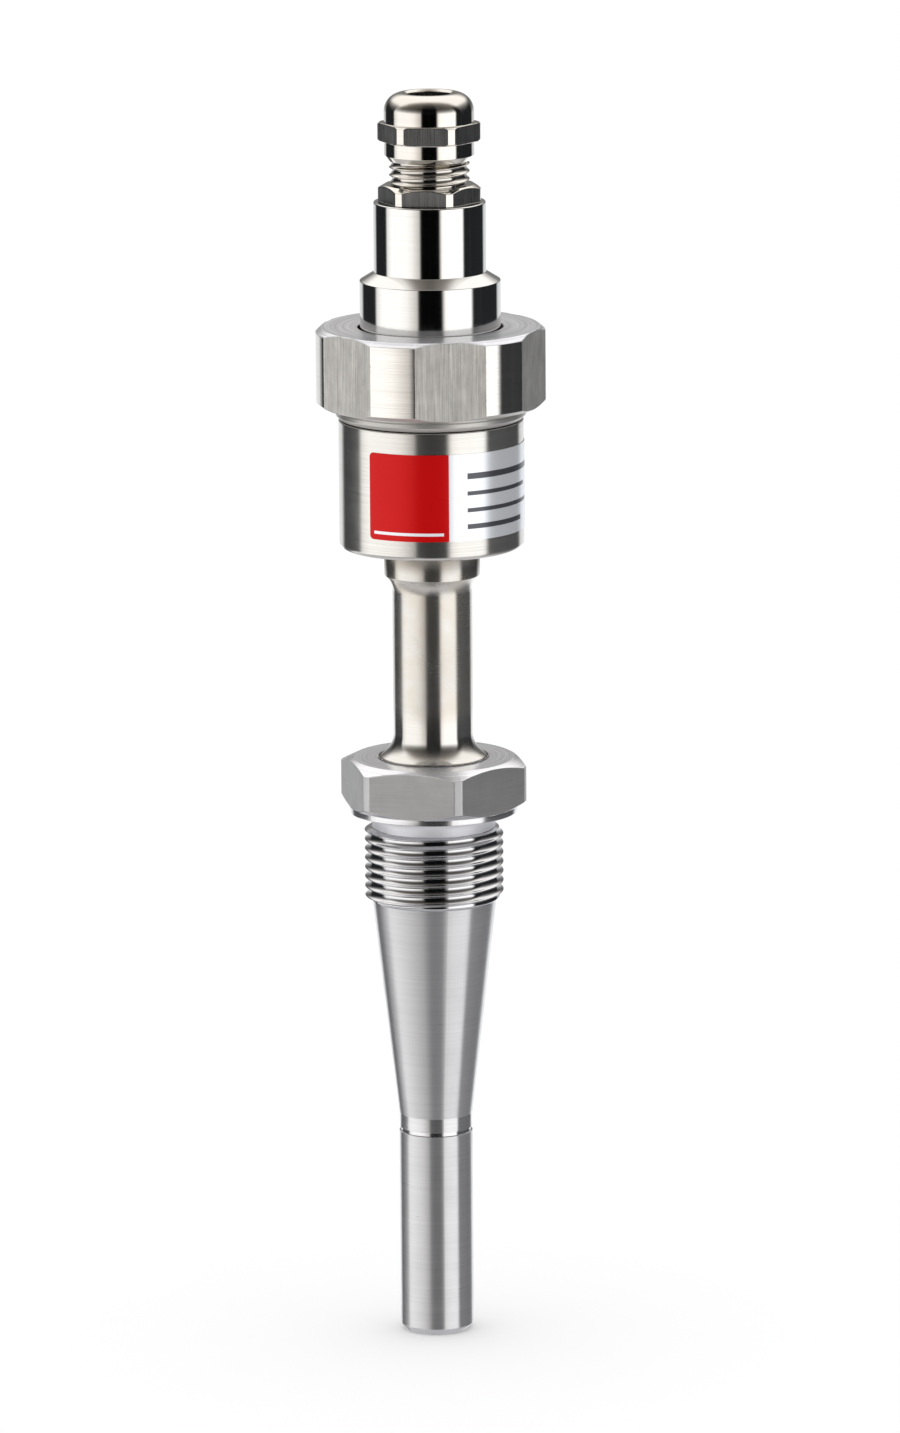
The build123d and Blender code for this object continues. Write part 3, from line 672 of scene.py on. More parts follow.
def noise_at(tree, parts, fourth, detail=2.0, roughness=0.5):
    """Noise at a place put together from three values and a fourth."""
    joined = tree.nodes.new("ShaderNodeCombineXYZ")
    for value, socket in zip(parts, joined.inputs):
        feed(tree, value, socket)
    node = tree.nodes.new("ShaderNodeTexNoise")
    node.noise_dimensions = "4D"
    wire(tree, node, Vector=joined.outputs[0], W=fourth, Scale=1.0, Detail=detail, Roughness=roughness)
    return node.outputs["Fac"]


def turning_lines():
    """Fine rings that a turning tool leaves, and broad ones, as values about 0.5."""
    inputs = {"Lines per mm": 5.0, "Run": 0.05}
    group, inside, outside = new_group("Turning lines", inputs, ("Lines", "Broad"))
    x, y, z, radius = place_parts(group)
    ring, level = scaled(group, (radius, z), inside["Lines per mm"])
    run_x, run_y = scaled(group, (x, y), inside["Run"])
    fine = noise_at(group, (ring, level, run_x), run_y, detail=3.0)
    slow_ring, slow_level = scaled(group, (ring, level), 0.12)
    broad = noise_at(group, (slow_ring, slow_level, 3.7), times(group, x, 0.02), detail=1.0)
    give(group, outside, Lines=fine, Broad=broad)


def drawn_lines():
    """Long fine scratches, upright or level by the changes per mm each way, as a value about 0.5."""
    inputs = {"Changes aside": 4.0, "Changes upward": 0.12}
    group, inside, outside = new_group("Drawn lines", inputs, ("Lines", "Mottle"))
    x, y, z, _ = place_parts(group)
    parts = (*scaled(group, (x, y), inside["Changes aside"]), times(group, z, inside["Changes upward"]))
    lines = noise_at(group, parts, 1.3, detail=4.0, roughness=0.6)
    patches = (*scaled(group, (x, y), 0.35), times(group, z, 0.2))
    mottle = noise_at(group, patches, 5.1, detail=4.0, roughness=0.65)
    give(group, outside, Lines=lines, Mottle=mottle)


def smudges():
    """Soft patches of handling marks, as a value from 0 to 1."""
    inputs = {"Patches per mm": 0.15, "Bareness": 0.5}
    group, inside, outside = new_group("Smudges", inputs, ("Mask",))
    *place, _ = place_parts(group)
    parts = scaled(group, place, inside["Patches per mm"])
    patches = noise_at(group, parts, 2.2, detail=3.0, roughness=0.55)
    starts = reckon(group, "ADD", inside["Bareness"], -0.1)
    full = reckon(group, "ADD", inside["Bareness"], 0.25)
    give(group, outside, Mask=between(group, patches, starts, full))


def painted_edge_highlight():
    """A painted highlight along broken edges and thread crests, with dark nicks of wear in it, as masks
    from 0 to 1.
    """
    inputs = {"Nicks per mm": 1.2, "Amount": 0.6}
    group, inside, outside = new_group("Painted edge highlight", inputs, ("Burnish", "Nicks"))
    marked = group.nodes.new("ShaderNodeAttribute")
    marked.attribute_name = "edge"
    *place, _ = place_parts(group)
    parts = scaled(group, place, inside["Nicks per mm"])
    chance = noise_at(group, parts, 7.9, detail=3.0, roughness=0.6)
    # Painted highlight on every marked edge and crest
    highlight_mask = times(group, marked.outputs["Fac"], inside["Amount"], clamp=True)
    nicks = times(group, highlight_mask, between(group, chance, 0.58, 0.66))
    give(group, outside, Burnish=highlight_mask, Nicks=nicks)


def pits():
    """A few tiny dark pits, as a mask from 0 to 1."""
    group, inside, outside = new_group("Pits", {"Pits per mm": 0.35, "Size": 0.05}, ("Mask",))
    spot = group.nodes.new("ShaderNodeTexCoord").outputs["Object"]
    grown = group.nodes.new("ShaderNodeVectorMath")
    grown.operation = "SCALE"
    wire(group, grown, Vector=spot, Scale=times(group, inside["Pits per mm"], 1000.0))
    cells = group.nodes.new("ShaderNodeTexVoronoi")
    wire(group, cells, Vector=grown.outputs[0], Scale=1.0)
    apart = group.nodes.new("ShaderNodeSeparateColor")
    group.links.new(cells.outputs["Color"], apart.inputs[0])
    chosen = reckon(group, "GREATER_THAN", apart.outputs[0], 0.72)
    size = times(group, inside["Size"], apart.outputs[1])
    near = between(group, cells.outputs["Distance"], size, times(group, size, 0.4))
    give(group, outside, Mask=times(group, chosen, near))


def effect(tree, name, **values):
    """An effect group placed in a material, with this material's values."""
    node = tree.nodes.new("ShaderNodeGroup")
    node.node_tree = bpy.data.node_groups[name]
    wire(tree, node, **values)
    return node


def mix_colour(tree, share, first, second):
    """One colour over another by a share."""
    node = tree.nodes.new("ShaderNodeMix")
    node.data_type = "RGBA"
    feed(tree, share, node.inputs[0])
    for item, socket in ((first, node.inputs[6]), (second, node.inputs[7])):
        feed(tree, (*item, 1.0) if isinstance(item, tuple) else item, socket)
    return node.outputs[2]


def tone(colour_value, factor):
    """A colour made lighter or darker."""
    return tuple(min(1.0, part * factor) for part in colour_value)


def finish(name):
    """A finish made by its operator."""
    return bpy.data.materials[f"{name}_finish"]


def new_material(name):
    """A material with its node tree and Principled shader."""
    material = bpy.data.materials.new(f"{name}_finish")
    material.use_nodes = True
    shader = next(n for n in material.node_tree.nodes if n.bl_idname == "ShaderNodeBsdfPrincipled")
    return material, material.node_tree, shader


def swing(tree, node, output):
    """How far an effect's value lies from its middle, 0.5."""
    return reckon(tree, "SUBTRACT", node.outputs[output], 0.5)


def machined(
    name,
    base,
    roughness,
    stretch=0.0,
    along=0.25,
    metal=1.0,
    rings=0.0,
    bars=0.0,
    dense=5.0,
    edge_highlight=0.5,
    level=False,
    glaze=0.0,
):
    """A machined metal. Rings and bars say how strongly turned and drawn lines shade and roughen it."""
    _, tree, shader = new_material(name)
    wire(tree, shader, Metallic=metal, Anisotropic=stretch, Coat_Weight=glaze, Coat_Roughness=0.1)
    if stretch:
        tangent = tree.nodes.new("ShaderNodeTangent")
        tangent.direction_type = "RADIAL"
        tangent.axis = "Z"
        wire(tree, shader, Tangent=tangent.outputs[0], Anisotropic_Rotation=along)
    turned = effect(tree, "Turning lines", Lines_per_mm=dense)
    aside, upward = (0.1, dense) if level else (dense, 0.1)
    drawn = effect(tree, "Drawn lines", Changes_aside=aside, Changes_upward=upward)
    marks = effect(tree, "Smudges")
    edge_marks = effect(tree, "Painted edge highlight", Amount=edge_highlight)
    fine = times(tree, swing(tree, turned, "Lines"), 2.0 * rings)
    broad = times(tree, swing(tree, turned, "Broad"), 0.35 * rings)
    lines = reckon(tree, "ADD", fine, broad)
    lines = reckon(tree, "MULTIPLY_ADD", swing(tree, drawn, "Lines"), 2.5 * bars, lines)
    middle = reckon(tree, "ADD", lines, 0.5)
    shade = reckon(tree, "MULTIPLY_ADD", swing(tree, drawn, "Mottle"), 1.2 * bars, middle, clamp=True)
    body = mix_colour(tree, shade, tone(base, 0.6), tone(base, 1.4))
    # Painted highlight: marked edges and crests drawn lighter; the nicks are dark wear along them
    body = mix_colour(tree, edge_marks.outputs["Burnish"], body, tone(base, 1.35))
    body = mix_colour(tree, edge_marks.outputs["Nicks"], body, tone(base, 0.35))
    rough = reckon(tree, "MULTIPLY_ADD", marks.outputs["Mask"], 0.15 * roughness, roughness)
    rough = reckon(tree, "MULTIPLY_ADD", lines, 0.6 * roughness, rough, clamp=True)
    wire(tree, shader, Base_Color=body, Roughness=rough)
    return tree, shader


def plain(name, base, roughness, grain=0.1, sheen=0.0):
    """A matt or glossy stuff with a light grain and handling marks."""
    _, tree, shader = new_material(name)
    grains = effect(tree, "Smudges", Patches_per_mm=2.5, Bareness=0.42)
    marks = effect(tree, "Smudges", Patches_per_mm=0.3)
    body = mix_colour(tree, grains.outputs["Mask"], tone(base, 1 - grain), tone(base, 1 + grain))
    rough = reckon(tree, "MULTIPLY_ADD", marks.outputs["Mask"], 0.2 * roughness, roughness, clamp=True)
    bump = tree.nodes.new("ShaderNodeBump")
    wire(tree, bump, Strength=0.15, Distance=mm(0.02), Height=grains.outputs["Mask"])
    wire(tree, shader, Base_Color=body, Roughness=rough, Sheen_Weight=sheen, Normal=bump.outputs[0])


def lay_over(tree, shader, share, over):
    """Lay a colour over what already feeds the shader's base colour."""
    socket = shader.inputs["Base Color"]
    tree.links.new(mix_colour(tree, share, socket.links[0].from_socket, over), socket)


def pitted_cone(base):
    """Fine-turned steel of the cone and tip, with a few pits."""
    look = {"stretch": 0.92, "metal": 0.84, "rings": 0.22, "dense": 8.5, "edge_highlight": 0.3}
    tree, shader = machined("well_turned", base, 0.29, **look)
    lay_over(tree, shader, effect(tree, "Pits").outputs["Mask"], tone(base, 0.3))


def tinted_neck(base, straw):
    """Turned steel of the neck, warmer in patches along it and brighter in the polished flare."""
    look = {"stretch": 0.8, "metal": 0.965, "rings": 0.16, "dense": 7.0, "edge_highlight": 0.3}
    tree, shader = machined("neck_turned", base, 0.25, **look)
    _, _, z, _ = place_parts(tree)
    foot = 1000 * low("neck_tube")
    polished = between(tree, z, foot + 11.0, foot + 6.0)
    patches = effect(tree, "Smudges", Patches_per_mm=0.22, Bareness=0.42)
    dull = reckon(tree, "SUBTRACT", 1.0, polished)
    lay_over(tree, shader, times(tree, patches.outputs["Mask"], dull), straw)
    socket = shader.inputs["Roughness"]
    smoother = reckon(tree, "MULTIPLY_ADD", polished, -0.13, socket.links[0].from_socket, clamp=True)
    tree.links.new(smoother, socket)


# Sizes on the label, in millimetres: softness of a printed edge, a bar's distance from the red field,
# the bars as (height over the lower edge, thickness, run), and the stripe's margin, bottom and top
PRINT_SOFT = 0.04
BAR_MARGIN = 3.6
LABEL_BARS = ((11.7, 1.15, 22.0), (8.6, 0.8, 17.0), (5.4, 0.8, 19.0), (2.2, 0.95, 15.0))
STRIPE = (1.0, 1.1, 1.65)


def within(tree, value, first, last):
    """A soft-edged mask of where a value lies between two others."""
    rising = between(tree, value, first - PRINT_SOFT, first + PRINT_SOFT)
    falling = between(tree, value, last + PRINT_SOFT, last - PRINT_SOFT)
    return times(tree, rising, falling)


def inside_box(tree, place, left, right, bottom, top):
    """A soft-edged rectangle on the label, as a mask."""
    across, up = place
    return times(tree, within(tree, across, left, right), within(tree, up, bottom, top))


def label_foil(colours, housing):
    """Printed foil: a red and a white field with plain bars, by the label's UV in millimetres."""
    _, tree, shader = new_material("label_foil")
    uv = tree.nodes.new("ShaderNodeUVMap")
    uv.uv_map = "label"
    across, up, _ = split(tree, uv.outputs[0])
    white, bars = tuple(colours.label_white), tuple(colours.label_grey)
    border = 1000 * housing.outer * (housing.label_split - housing.label_left)
    red = between(tree, across, border + 0.06, border - 0.06)
    body = mix_colour(tree, red, white, tuple(colours.label_red))
    start = border + BAR_MARGIN
    for bottom, tall, run in LABEL_BARS:
        bar = inside_box(tree, (across, up), start, start + run, bottom, bottom + tall)
        body = mix_colour(tree, bar, body, bars)
    margin, bottom, top = STRIPE
    stripe = inside_box(tree, (across, up), margin, border - margin, bottom, top)
    body = mix_colour(tree, stripe, body, white)
    marks = effect(tree, "Smudges", Patches_per_mm=0.25)
    rough = reckon(tree, "MULTIPLY_ADD", marks.outputs["Mask"], 0.02, 0.25)
    metal = reckon(tree, "MULTIPLY_ADD", red, -0.4, 0.6)
    wire(tree, shader, Base_Color=body, Roughness=rough, Specular_IOR_Level=0.22, Metallic=metal)


# Metals that only one finish has
HEXAGON_STEEL = (0.447, 0.443, 0.438)
DRAWN_NICKEL = (0.33, 0.33, 0.33)
SCREW_STEEL = (0.55, 0.55, 0.54)
SPRING_STEEL = (0.45, 0.45, 0.44)
SHEATH_STEEL = (0.58, 0.57, 0.55)
WIRE_NICKEL = (0.60, 0.58, 0.54)


class PROBE_OT_finishes(bpy.types.Operator):
    """Make the shared effects and the finishes of every piece."""

    bl_idname = "probe.finishes"
    bl_label = "Finishes"

    def execute(self, context):
        scene = context.scene
        colours = scene.probe_colours
        for make in (turning_lines, drawn_lines, smudges, painted_edge_highlight, pits):
            make()
        well, body, lit_top_steel = tuple(colours.well), tuple(colours.body), tuple(colours.lit_top_steel)
        nickel, polish = tuple(colours.nickel), tuple(colours.polished)
        pitted_cone(well)
        hexagon = {"stretch": 0.5, "metal": 0.82, "bars": 0.25, "dense": 7.0, "level": True}
        machined("well_flats", HEXAGON_STEEL, 0.38, **hexagon)
        machined("well_thread", well, 0.10, stretch=0.3, rings=0.06, dense=8.0, edge_highlight=0.12)
        machined("well_corners", tone(well, 0.9), 0.44, stretch=0.4, metal=0.82, bars=0.4, dense=6.0)
        machined("well_band", well, 0.21, stretch=0.85, metal=0.88, rings=0.2, dense=7.0)
        machined("well_groove", well, 0.13, stretch=0.5, metal=0.97, rings=0.15, dense=8.0, edge_highlight=0.1)
        machined("well_faces", well, 0.17, stretch=0.5, metal=0.95, rings=0.3, dense=8.0, edge_highlight=0.2)
        # Painted light: faces that look up and the undercut get a lighter, bluer copy of the steel
        machined("well_top", tone(lit_top_steel, 1.22), 0.22, metal=0.74, rings=0.4, dense=5.0)
        machined("well_undercut", tone(lit_top_steel, 1.45), 0.5, metal=0.5, rings=0.15, dense=5.0)
        tinted_neck(body, tuple(colours.straw))
        machined("weld_metal", tone(body, 0.55), 0.35, bars=0.6, dense=2.0)
        machined("housing_turned", body, 0.20, stretch=0.85, metal=0.955, rings=0.3, dense=9.0)
        label_foil(colours, scene.probe_housing)
        machined("nut_turned", tone(body, 1.08), 0.10, stretch=0.8, metal=0.98, rings=0.35, dense=8.0)
        # Painted light: the nut's top face gets the same lighter, bluer copy of the steel
        machined("nut_top", tone(lit_top_steel, 1.22), 0.34, metal=0.6, rings=0.8, dense=3.5, glaze=0.8)
        machined("nut_lip", tone(body, 0.85), 0.40, stretch=0.5, metal=0.84, rings=0.5, dense=9.0)
        drawn = {"stretch": 0.5, "along": 0.0}
        machined("nut_flats", tone(body, 0.92), 0.36, bars=0.9, dense=7.0, edge_highlight=0.8, **drawn)
        machined("sleeve_polished", polish, 0.085, stretch=0.5, rings=0.12, dense=9.0, edge_highlight=0.3)
        machined("gland_polished", nickel, 0.075, stretch=0.3, rings=0.2, dense=9.0, edge_highlight=0.3)
        machined("gland_flats", DRAWN_NICKEL, 0.30, bars=0.7, dense=10.0, **drawn)
        machined("screw_steel", SCREW_STEEL, 0.25, rings=0.3, dense=5.0)
        machined("spring_steel", SPRING_STEEL, 0.28, bars=0.3, dense=3.0)
        machined("sheath_steel", SHEATH_STEEL, 0.24, stretch=0.5, rings=0.3, dense=5.0)
        machined("wire_nickel", WIRE_NICKEL, 0.25, bars=0.3, dense=6.0)
        machined("clamp_brass", tuple(colours.brass), 0.26, bars=0.4, dense=5.0)
        plain("seal_rubber", tuple(colours.rubber), 0.62, grain=0.3, sheen=0.2)
        plain("cage_plastic", tuple(colours.plastic), 0.45, grain=0.15)
        plain("block_ceramic", tuple(colours.ceramic), 0.5, grain=0.06)
        plain("sensor_ceramic", tone(tuple(colours.ceramic), 1.1), 0.25, grain=0.04)
        return {"FINISHED"}


class PROBE_OT_thermowell(bpy.types.Operator):
    """Skin the thermowell: hexagon, sealing face, process thread, cone, groove and tip."""

    bl_idname = "probe.thermowell"
    bl_label = "Thermowell"

    def execute(self, context):
        s = context.scene.probe_well
        top, tip = high("thermowell"), low("thermowell")
        hexagon = Hexagon(s.hex_flat, s.hex_turned, s.hex_corner)
        angles = column_angles(hexagon)
        corners_low = s.seat_height + s.lower_chamfer
        mesh = start_skin()
        upper = [
            at(0.0, tip + s.floor, 0.0),
            at(s.bore, tip + s.floor),
            at(s.bore, top),
            at(s.hex_top, top, mm(0.2)),
            at(s.hex_turned, top - s.upper_chamfer),
            at(s.hex_turned, corners_low),
            at(s.seat, s.seat_height),
            at(s.seat, s.seat_height, free=True),
            at(s.seat, 0.0, mm(0.2), free=True),
        ]
        fillet = s.undercut_fillet
        upper += arc((s.undercut + fillet, -fillet), fillet, 90, 180, 10)
        upper.append(at(s.undercut, -s.undercut_length, 0.0))
        lathe(mesh, upper, angles, hexagon)
        low_end = (s.cone_top, -s.cone_start, s.cone_start - s.thread_end)
        high_end = (s.undercut, -s.undercut_length, mm(0.5))
        thread(mesh, angles, s, PIPE_FLANK, low_end, high_end, s.thread_front)
        groove_low = -s.groove - s.groove_width
        bottom, slope = s.tip - s.groove_depth, mm(0.06)
        lower = [
            at(s.cone_top, -s.cone_start, 0.0),
            at(s.tip, -s.cone_end, mm(0.4)),
            at(s.tip, -s.groove, mm(0.04)),
            at(bottom, -s.groove - slope, mm(0.03)),
            at(bottom, groove_low + slope, mm(0.03)),
            at(s.tip, groove_low, mm(0.04)),
            at(s.tip, tip + s.tip_chamfer, mm(0.25)),
            at(s.tip - s.tip_chamfer, tip, mm(0.25)),
            at(0.0, tip, 0.0),
        ]
        lathe(mesh, lower, angles)

        def choose(centre, normal):
            z = centre.z
            if on_flat(hexagon, centre, normal):
                return "well_flats"
            if z > corners_low and abs(normal.z) < LOOKS_UP:
                return "well_corners"
            if z > 0:
                return "well_top" if normal.z > LOOKS_UP else "well_faces"
            if -s.undercut_length < z < 0:
                return "well_undercut"
            if -s.cone_start < z < 0:
                return "well_thread"
            if -s.groove < z < -s.cone_end:
                return "well_band"
            return "well_groove" if groove_low < z < -s.groove else "well_turned"

        parts = ("turned", "flats", "thread", "faces", "undercut", "top", "groove", "corners", "band")
        names = [f"well_{part}" for part in parts]
        add_skin(mesh, "thermowell_skin", "base", "thermowell", names, choose)
        return {"FINISHED"}


FLARE_STEPS = 14
FLARE_STEEPNESS = 2.4
FILLET_MIDDLE = (0.27, 0.6)  # shares of the collar fillet's width and height
BEAD_COLUMNS = 260
BEAD_POINTS = 8
BEAD_WAVES = 900  # changes per metre in the size of the weld's bead


class PROBE_OT_neck(bpy.types.Operator):
    """Skin the neck tube and lay the weld's edge round its foot."""

    bl_idname = "probe.neck"
    bl_label = "Neck tube"

    def execute(self, context):
        s = context.scene.probe_neck
        bottom, top = low("neck_tube"), high("neck_tube")
        collar_low = top - s.collar_height
        fillet_low = collar_low - s.collar_fillet
        ledge = s.collar - s.collar_chamfer
        across, up = FILLET_MIDDLE
        middle = (s.tube + across * (ledge - s.tube), fillet_low + up * s.collar_fillet)
        outline = [at(s.bore, bottom, 0.0)]
        for step in range(FLARE_STEPS + 1):
            share = step / FLARE_STEPS
            radius = s.tube + (s.foot - s.tube) * (1 - share) ** FLARE_STEEPNESS
            outline.append(at(radius, bottom + s.foot_height * share, 0.0))
        outline += arc_through((s.tube, fillet_low), middle, (ledge, collar_low), 10)
        outline += [
            at(s.collar, collar_low + s.collar_chamfer),
            at(s.collar, top, 0.0),
            at(s.bore, top, 0.0),
        ]
        mesh = start_skin()
        lathe(mesh, outline, column_angles(None), closed=True)
        add_skin(mesh, "neck_skin", "base", "neck_tube", ["neck_turned"])
        bead = start_skin()
        columns = []
        turns = [math.tau * number / BEAD_POINTS for number in range(BEAD_POINTS)]
        for number in range(BEAD_COLUMNS):
            angle = math.tau * number / BEAD_COLUMNS
            place = place_on(angle, s.foot, 0.0) * BEAD_WAVES
            swell = 0.7 + 0.6 * noise.noise(place) + 0.35 * noise.noise(place * 2.7)
            size = s.bead * max(0.35, swell)
            sink = s.bead * 0.5 * noise.noise(place * 0.8 + Vector((5.0, 1.0, 2.0)))
            height = bottom + s.bead + sink
            ring = [(s.foot + size * math.cos(a), height + size * math.sin(a)) for a in turns]
            columns.append([bead.verts.new(place_on(angle, *spot)) for spot in ring])
        weave(bead, columns, closed_rows=True)
        add_skin(bead, "neck_weld", "base", None, ["weld_metal"])
        return {"FINISHED"}


class PROBE_OT_housing(bpy.types.Operator):
    """Skin the round housing with its threaded rim."""

    bl_idname = "probe.housing"
    bl_label = "Housing"

    def execute(self, context):
        s = context.scene.probe_housing
        neck = context.scene.probe_neck
        bottom, rim = low("housing_body"), high("housing_body")
        shoulder = bottom + s.skirt
        root = s.thread - s.thread_depth
        relief_top = shoulder + mm(1.2)
        angles = column_angles(None)
        mesh = start_skin()
        body = [
            at(root, rim, 0.0),
            at(s.inner, rim, mm(0.2)),
            at(s.inner, bottom + s.floor, mm(0.3)),
            at(neck.bore, bottom + s.floor),
            at(neck.bore, bottom),
        ]
        body += arc((s.outer - s.edge, bottom + s.edge), s.edge, -90, 0, 8)
        body += [at(s.outer, shoulder, mm(0.25)), at(root, shoulder), at(root, relief_top, 0.0)]
        lathe(mesh, body, angles)
        thread(mesh, angles, s, METRIC_FLANK, (root, relief_top, mm(0.5)), (root, rim, mm(0.8)))
        add_skin(mesh, "housing_skin", "base", "housing_body", ["housing_turned"])
        return {"FINISHED"}


LABEL_COLUMNS = 90
LABEL_SUNK = mm(0.01)  # how far the foil's back lies inside the housing's skin


class PROBE_OT_label(bpy.types.Operator):
    """Wrap the foil label round the housing."""

    bl_idname = "probe.label"
    bl_label = "Label"

    def execute(self, context):
        s = context.scene.probe_housing
        bottom, top = low("label"), high("label")
        corner = s.label_corner
        span = s.outer * (s.label_right - s.label_left)
        start = [corner * (1 - math.cos(math.radians(15 * k))) for k in range(7)]
        middle = [corner + (span - 2 * corner) * k / LABEL_COLUMNS for k in range(1, LABEL_COLUMNS)]
        stations = start + middle + [span - along for along in reversed(start)]
        mesh = start_skin()
        uv_layer = mesh.loops.layers.uv.new("label")

        def foil(radius):
            """The lower and upper vertex at each station."""
            rows = []
            for along in stations:
                end = min(along, span - along, corner)
                drop = corner - math.sqrt(max(0.0, corner**2 - (corner - end) ** 2))
                angle = s.label_left + along / s.outer
                heights = (bottom + drop, top - drop)
                rows.append([mesh.verts.new(place_on(angle, radius, height)) for height in heights])
            return rows

        back, front = foil(s.outer - LABEL_SUNK), foil(s.outer + s.label_thickness)
        for k in range(len(stations) - 1):
            mesh.faces.new([front[k][0], front[k + 1][0], front[k + 1][1], front[k][1]])
            mesh.faces.new([back[k][1], back[k + 1][1], back[k + 1][0], back[k][0]])
            for row in (0, 1):
                mesh.faces.new([front[k][row], back[k][row], back[k + 1][row], front[k + 1][row]])
        for k in (0, len(stations) - 1):
            mesh.faces.new([front[k][0], front[k][1], back[k][1], back[k][0]])
        for face in mesh.faces:
            for loop in face.loops:
                place = loop.vert.co
                angle = math.atan2(place.x, -place.y) % math.tau
                along = (angle - s.label_left + math.pi / 2) % math.tau - math.pi / 2
                loop[uv_layer].uv = (1000 * along * s.outer, 1000 * (place.z - bottom))
        add_skin(mesh, "label_skin", "base", "label", ["label_foil"])
        return {"FINISHED"}


LIP_GROOVES = (0.62, 0.82)  # where fine grooves begin, as shares of the lip's height
LIP_GROOVE_DEPTH = mm(0.15)
LIP_GROOVE_WIDTH = mm(0.25)


class PROBE_OT_union_nut(bpy.types.Operator):
    """Skin the union nut with drawn flats and turned faces."""

    bl_idname = "probe.union_nut"
    bl_label = "Union nut"

    def execute(self, context):
        s = context.scene.probe_nut
        bottom, top = low("union_nut"), high("union_nut")
        hexagon = Hexagon(s.flat, s.turned, s.corner)
        lip_top = bottom + s.lip_height
        corners_low = lip_top + s.low_chamfer
        outline = [
            at(s.bore, bottom),
            at(s.lip - s.lip_round, bottom),
            at(s.lip, bottom + s.lip_round, mm(0.3)),
        ]
        for share in LIP_GROOVES:
            height = bottom + share * s.lip_height
            outline += [
                at(s.lip, height, mm(0.04)),
                at(s.lip - LIP_GROOVE_DEPTH, height + LIP_GROOVE_WIDTH / 2, mm(0.04)),
                at(s.lip, height + LIP_GROOVE_WIDTH, mm(0.04)),
            ]
        outline += [
            at(s.lip, lip_top, mm(0.05)),
            at(s.turned - s.low_width, lip_top),
            at(s.turned, corners_low),
            at(s.turned, top - s.top_chamfer, mm(0.2)),
            at(s.top, top, mm(0.25)),
            at(s.hole, top, mm(0.25)),
            at(s.hole, top - s.wall),
            at(s.bore, top - s.wall),
        ]
        mesh = start_skin()
        lathe(mesh, outline, column_angles(hexagon), hexagon, closed=True)

        def choose(centre, normal):
            if on_flat(hexagon, centre, normal):
                return "nut_flats"
            if centre.z < corners_low and normal.z < 0.9:
                return "nut_lip"
            return "nut_top" if normal.z > LOOKS_UP else "nut_turned"

        names = ["nut_turned", "nut_flats", "nut_lip", "nut_top"]
        add_skin(mesh, "union_nut_skin", "union_nut", "union_nut", names, choose)
        return {"FINISHED"}


class PROBE_OT_sleeve(bpy.types.Operator):
    """Skin the polished head sleeve."""

    bl_idname = "probe.sleeve"
    bl_label = "Head sleeve"

    def execute(self, context):
        s = context.scene.probe_sleeve
        bottom, top = low("head_sleeve"), high("head_sleeve")
        rim = high("housing_body")
        flange_top = rim + s.flange_height
        cone_low = rim + s.lower_height
        ring_room = mm(0.15)
        ring_low, ring_high = low("head_o_ring") - ring_room, high("head_o_ring") + ring_room
        thread_end = low("gland_body") - mm(1.6)
        bore_top = rim + mm(11.0)
        recess_floor = top - mm(1.3)
        outline = [
            at(s.bore, bottom),
            at(s.spigot, bottom, mm(0.3)),
            at(s.spigot, ring_low),
            at(s.ring_groove, ring_low),
            at(s.ring_groove, ring_high),
            at(s.spigot, ring_high),
            at(s.spigot, rim),
            at(s.flange, rim),
            at(s.flange, flange_top),
            at(s.lower, flange_top),
            at(s.lower, cone_low, mm(0.2)),
            at(s.upper, cone_low + s.cone, mm(0.15)),
            at(s.upper, top, mm(0.3)),
            at(s.recess, top, mm(0.15)),
            at(s.recess, recess_floor),
            at(s.tapped, recess_floor),
            at(s.tapped, thread_end),
            at(s.upper_bore, thread_end),
            at(s.upper_bore, bore_top),
            at(s.bore, bore_top - (s.bore - s.upper_bore)),
        ]
        mesh = start_skin()
        lathe(mesh, outline, column_angles(None), closed=True)
        add_skin(mesh, "sleeve_skin", "head", "head_sleeve", ["sleeve_polished"])
        return {"FINISHED"}


GLAND_FINISHES = ["gland_polished", "gland_flats"]


class PROBE_OT_gland(bpy.types.Operator):
    """Skin the cable gland's body with its upper thread."""

    bl_idname = "probe.gland"
    bl_label = "Gland body"

    def execute(self, context):
        s = context.scene.probe_gland
        bottom, rim = low("gland_body"), high("gland_body")
        sleeve_top = high("head_sleeve")
        hex_top = sleeve_top + s.hex_height
        hexagon = Hexagon(s.flat, s.turned, s.corner)
        angles = column_angles(hexagon)
        root = s.thread - s.thread_depth
        socket_floor = rim - s.socket_depth
        groove_low = sleeve_top - mm(1.8)
        mesh = start_skin()
        body = [
            at(root, rim, 0.0),
            at(s.socket, rim),
            at(s.socket, socket_floor),
            at(s.passage, socket_floor),
            at(s.passage, bottom),
            at(s.lower_thread, bottom, mm(0.3)),
            at(s.lower_thread, groove_low),
            at(s.groove, groove_low),
            at(s.groove, sleeve_top),
            at(s.turned, sleeve_top, mm(0.15)),
            at(s.turned, hex_top - s.hex_chamfer),
            at(s.turned - s.hex_chamfer_width, hex_top, mm(0.2)),
            at(root, hex_top, 0.0),
        ]
        lathe(mesh, body, angles, hexagon)
        low_end, high_end = (root, hex_top, mm(0.35)), (root, rim, mm(0.4))
        thread(mesh, angles, s, METRIC_FLANK, low_end, high_end, s.thread_front)
        choose = by_flats(hexagon, "gland_flats", "gland_polished")
        add_skin(mesh, "gland_skin", "head", "gland_body", GLAND_FINISHES, choose)
        return {"FINISHED"}


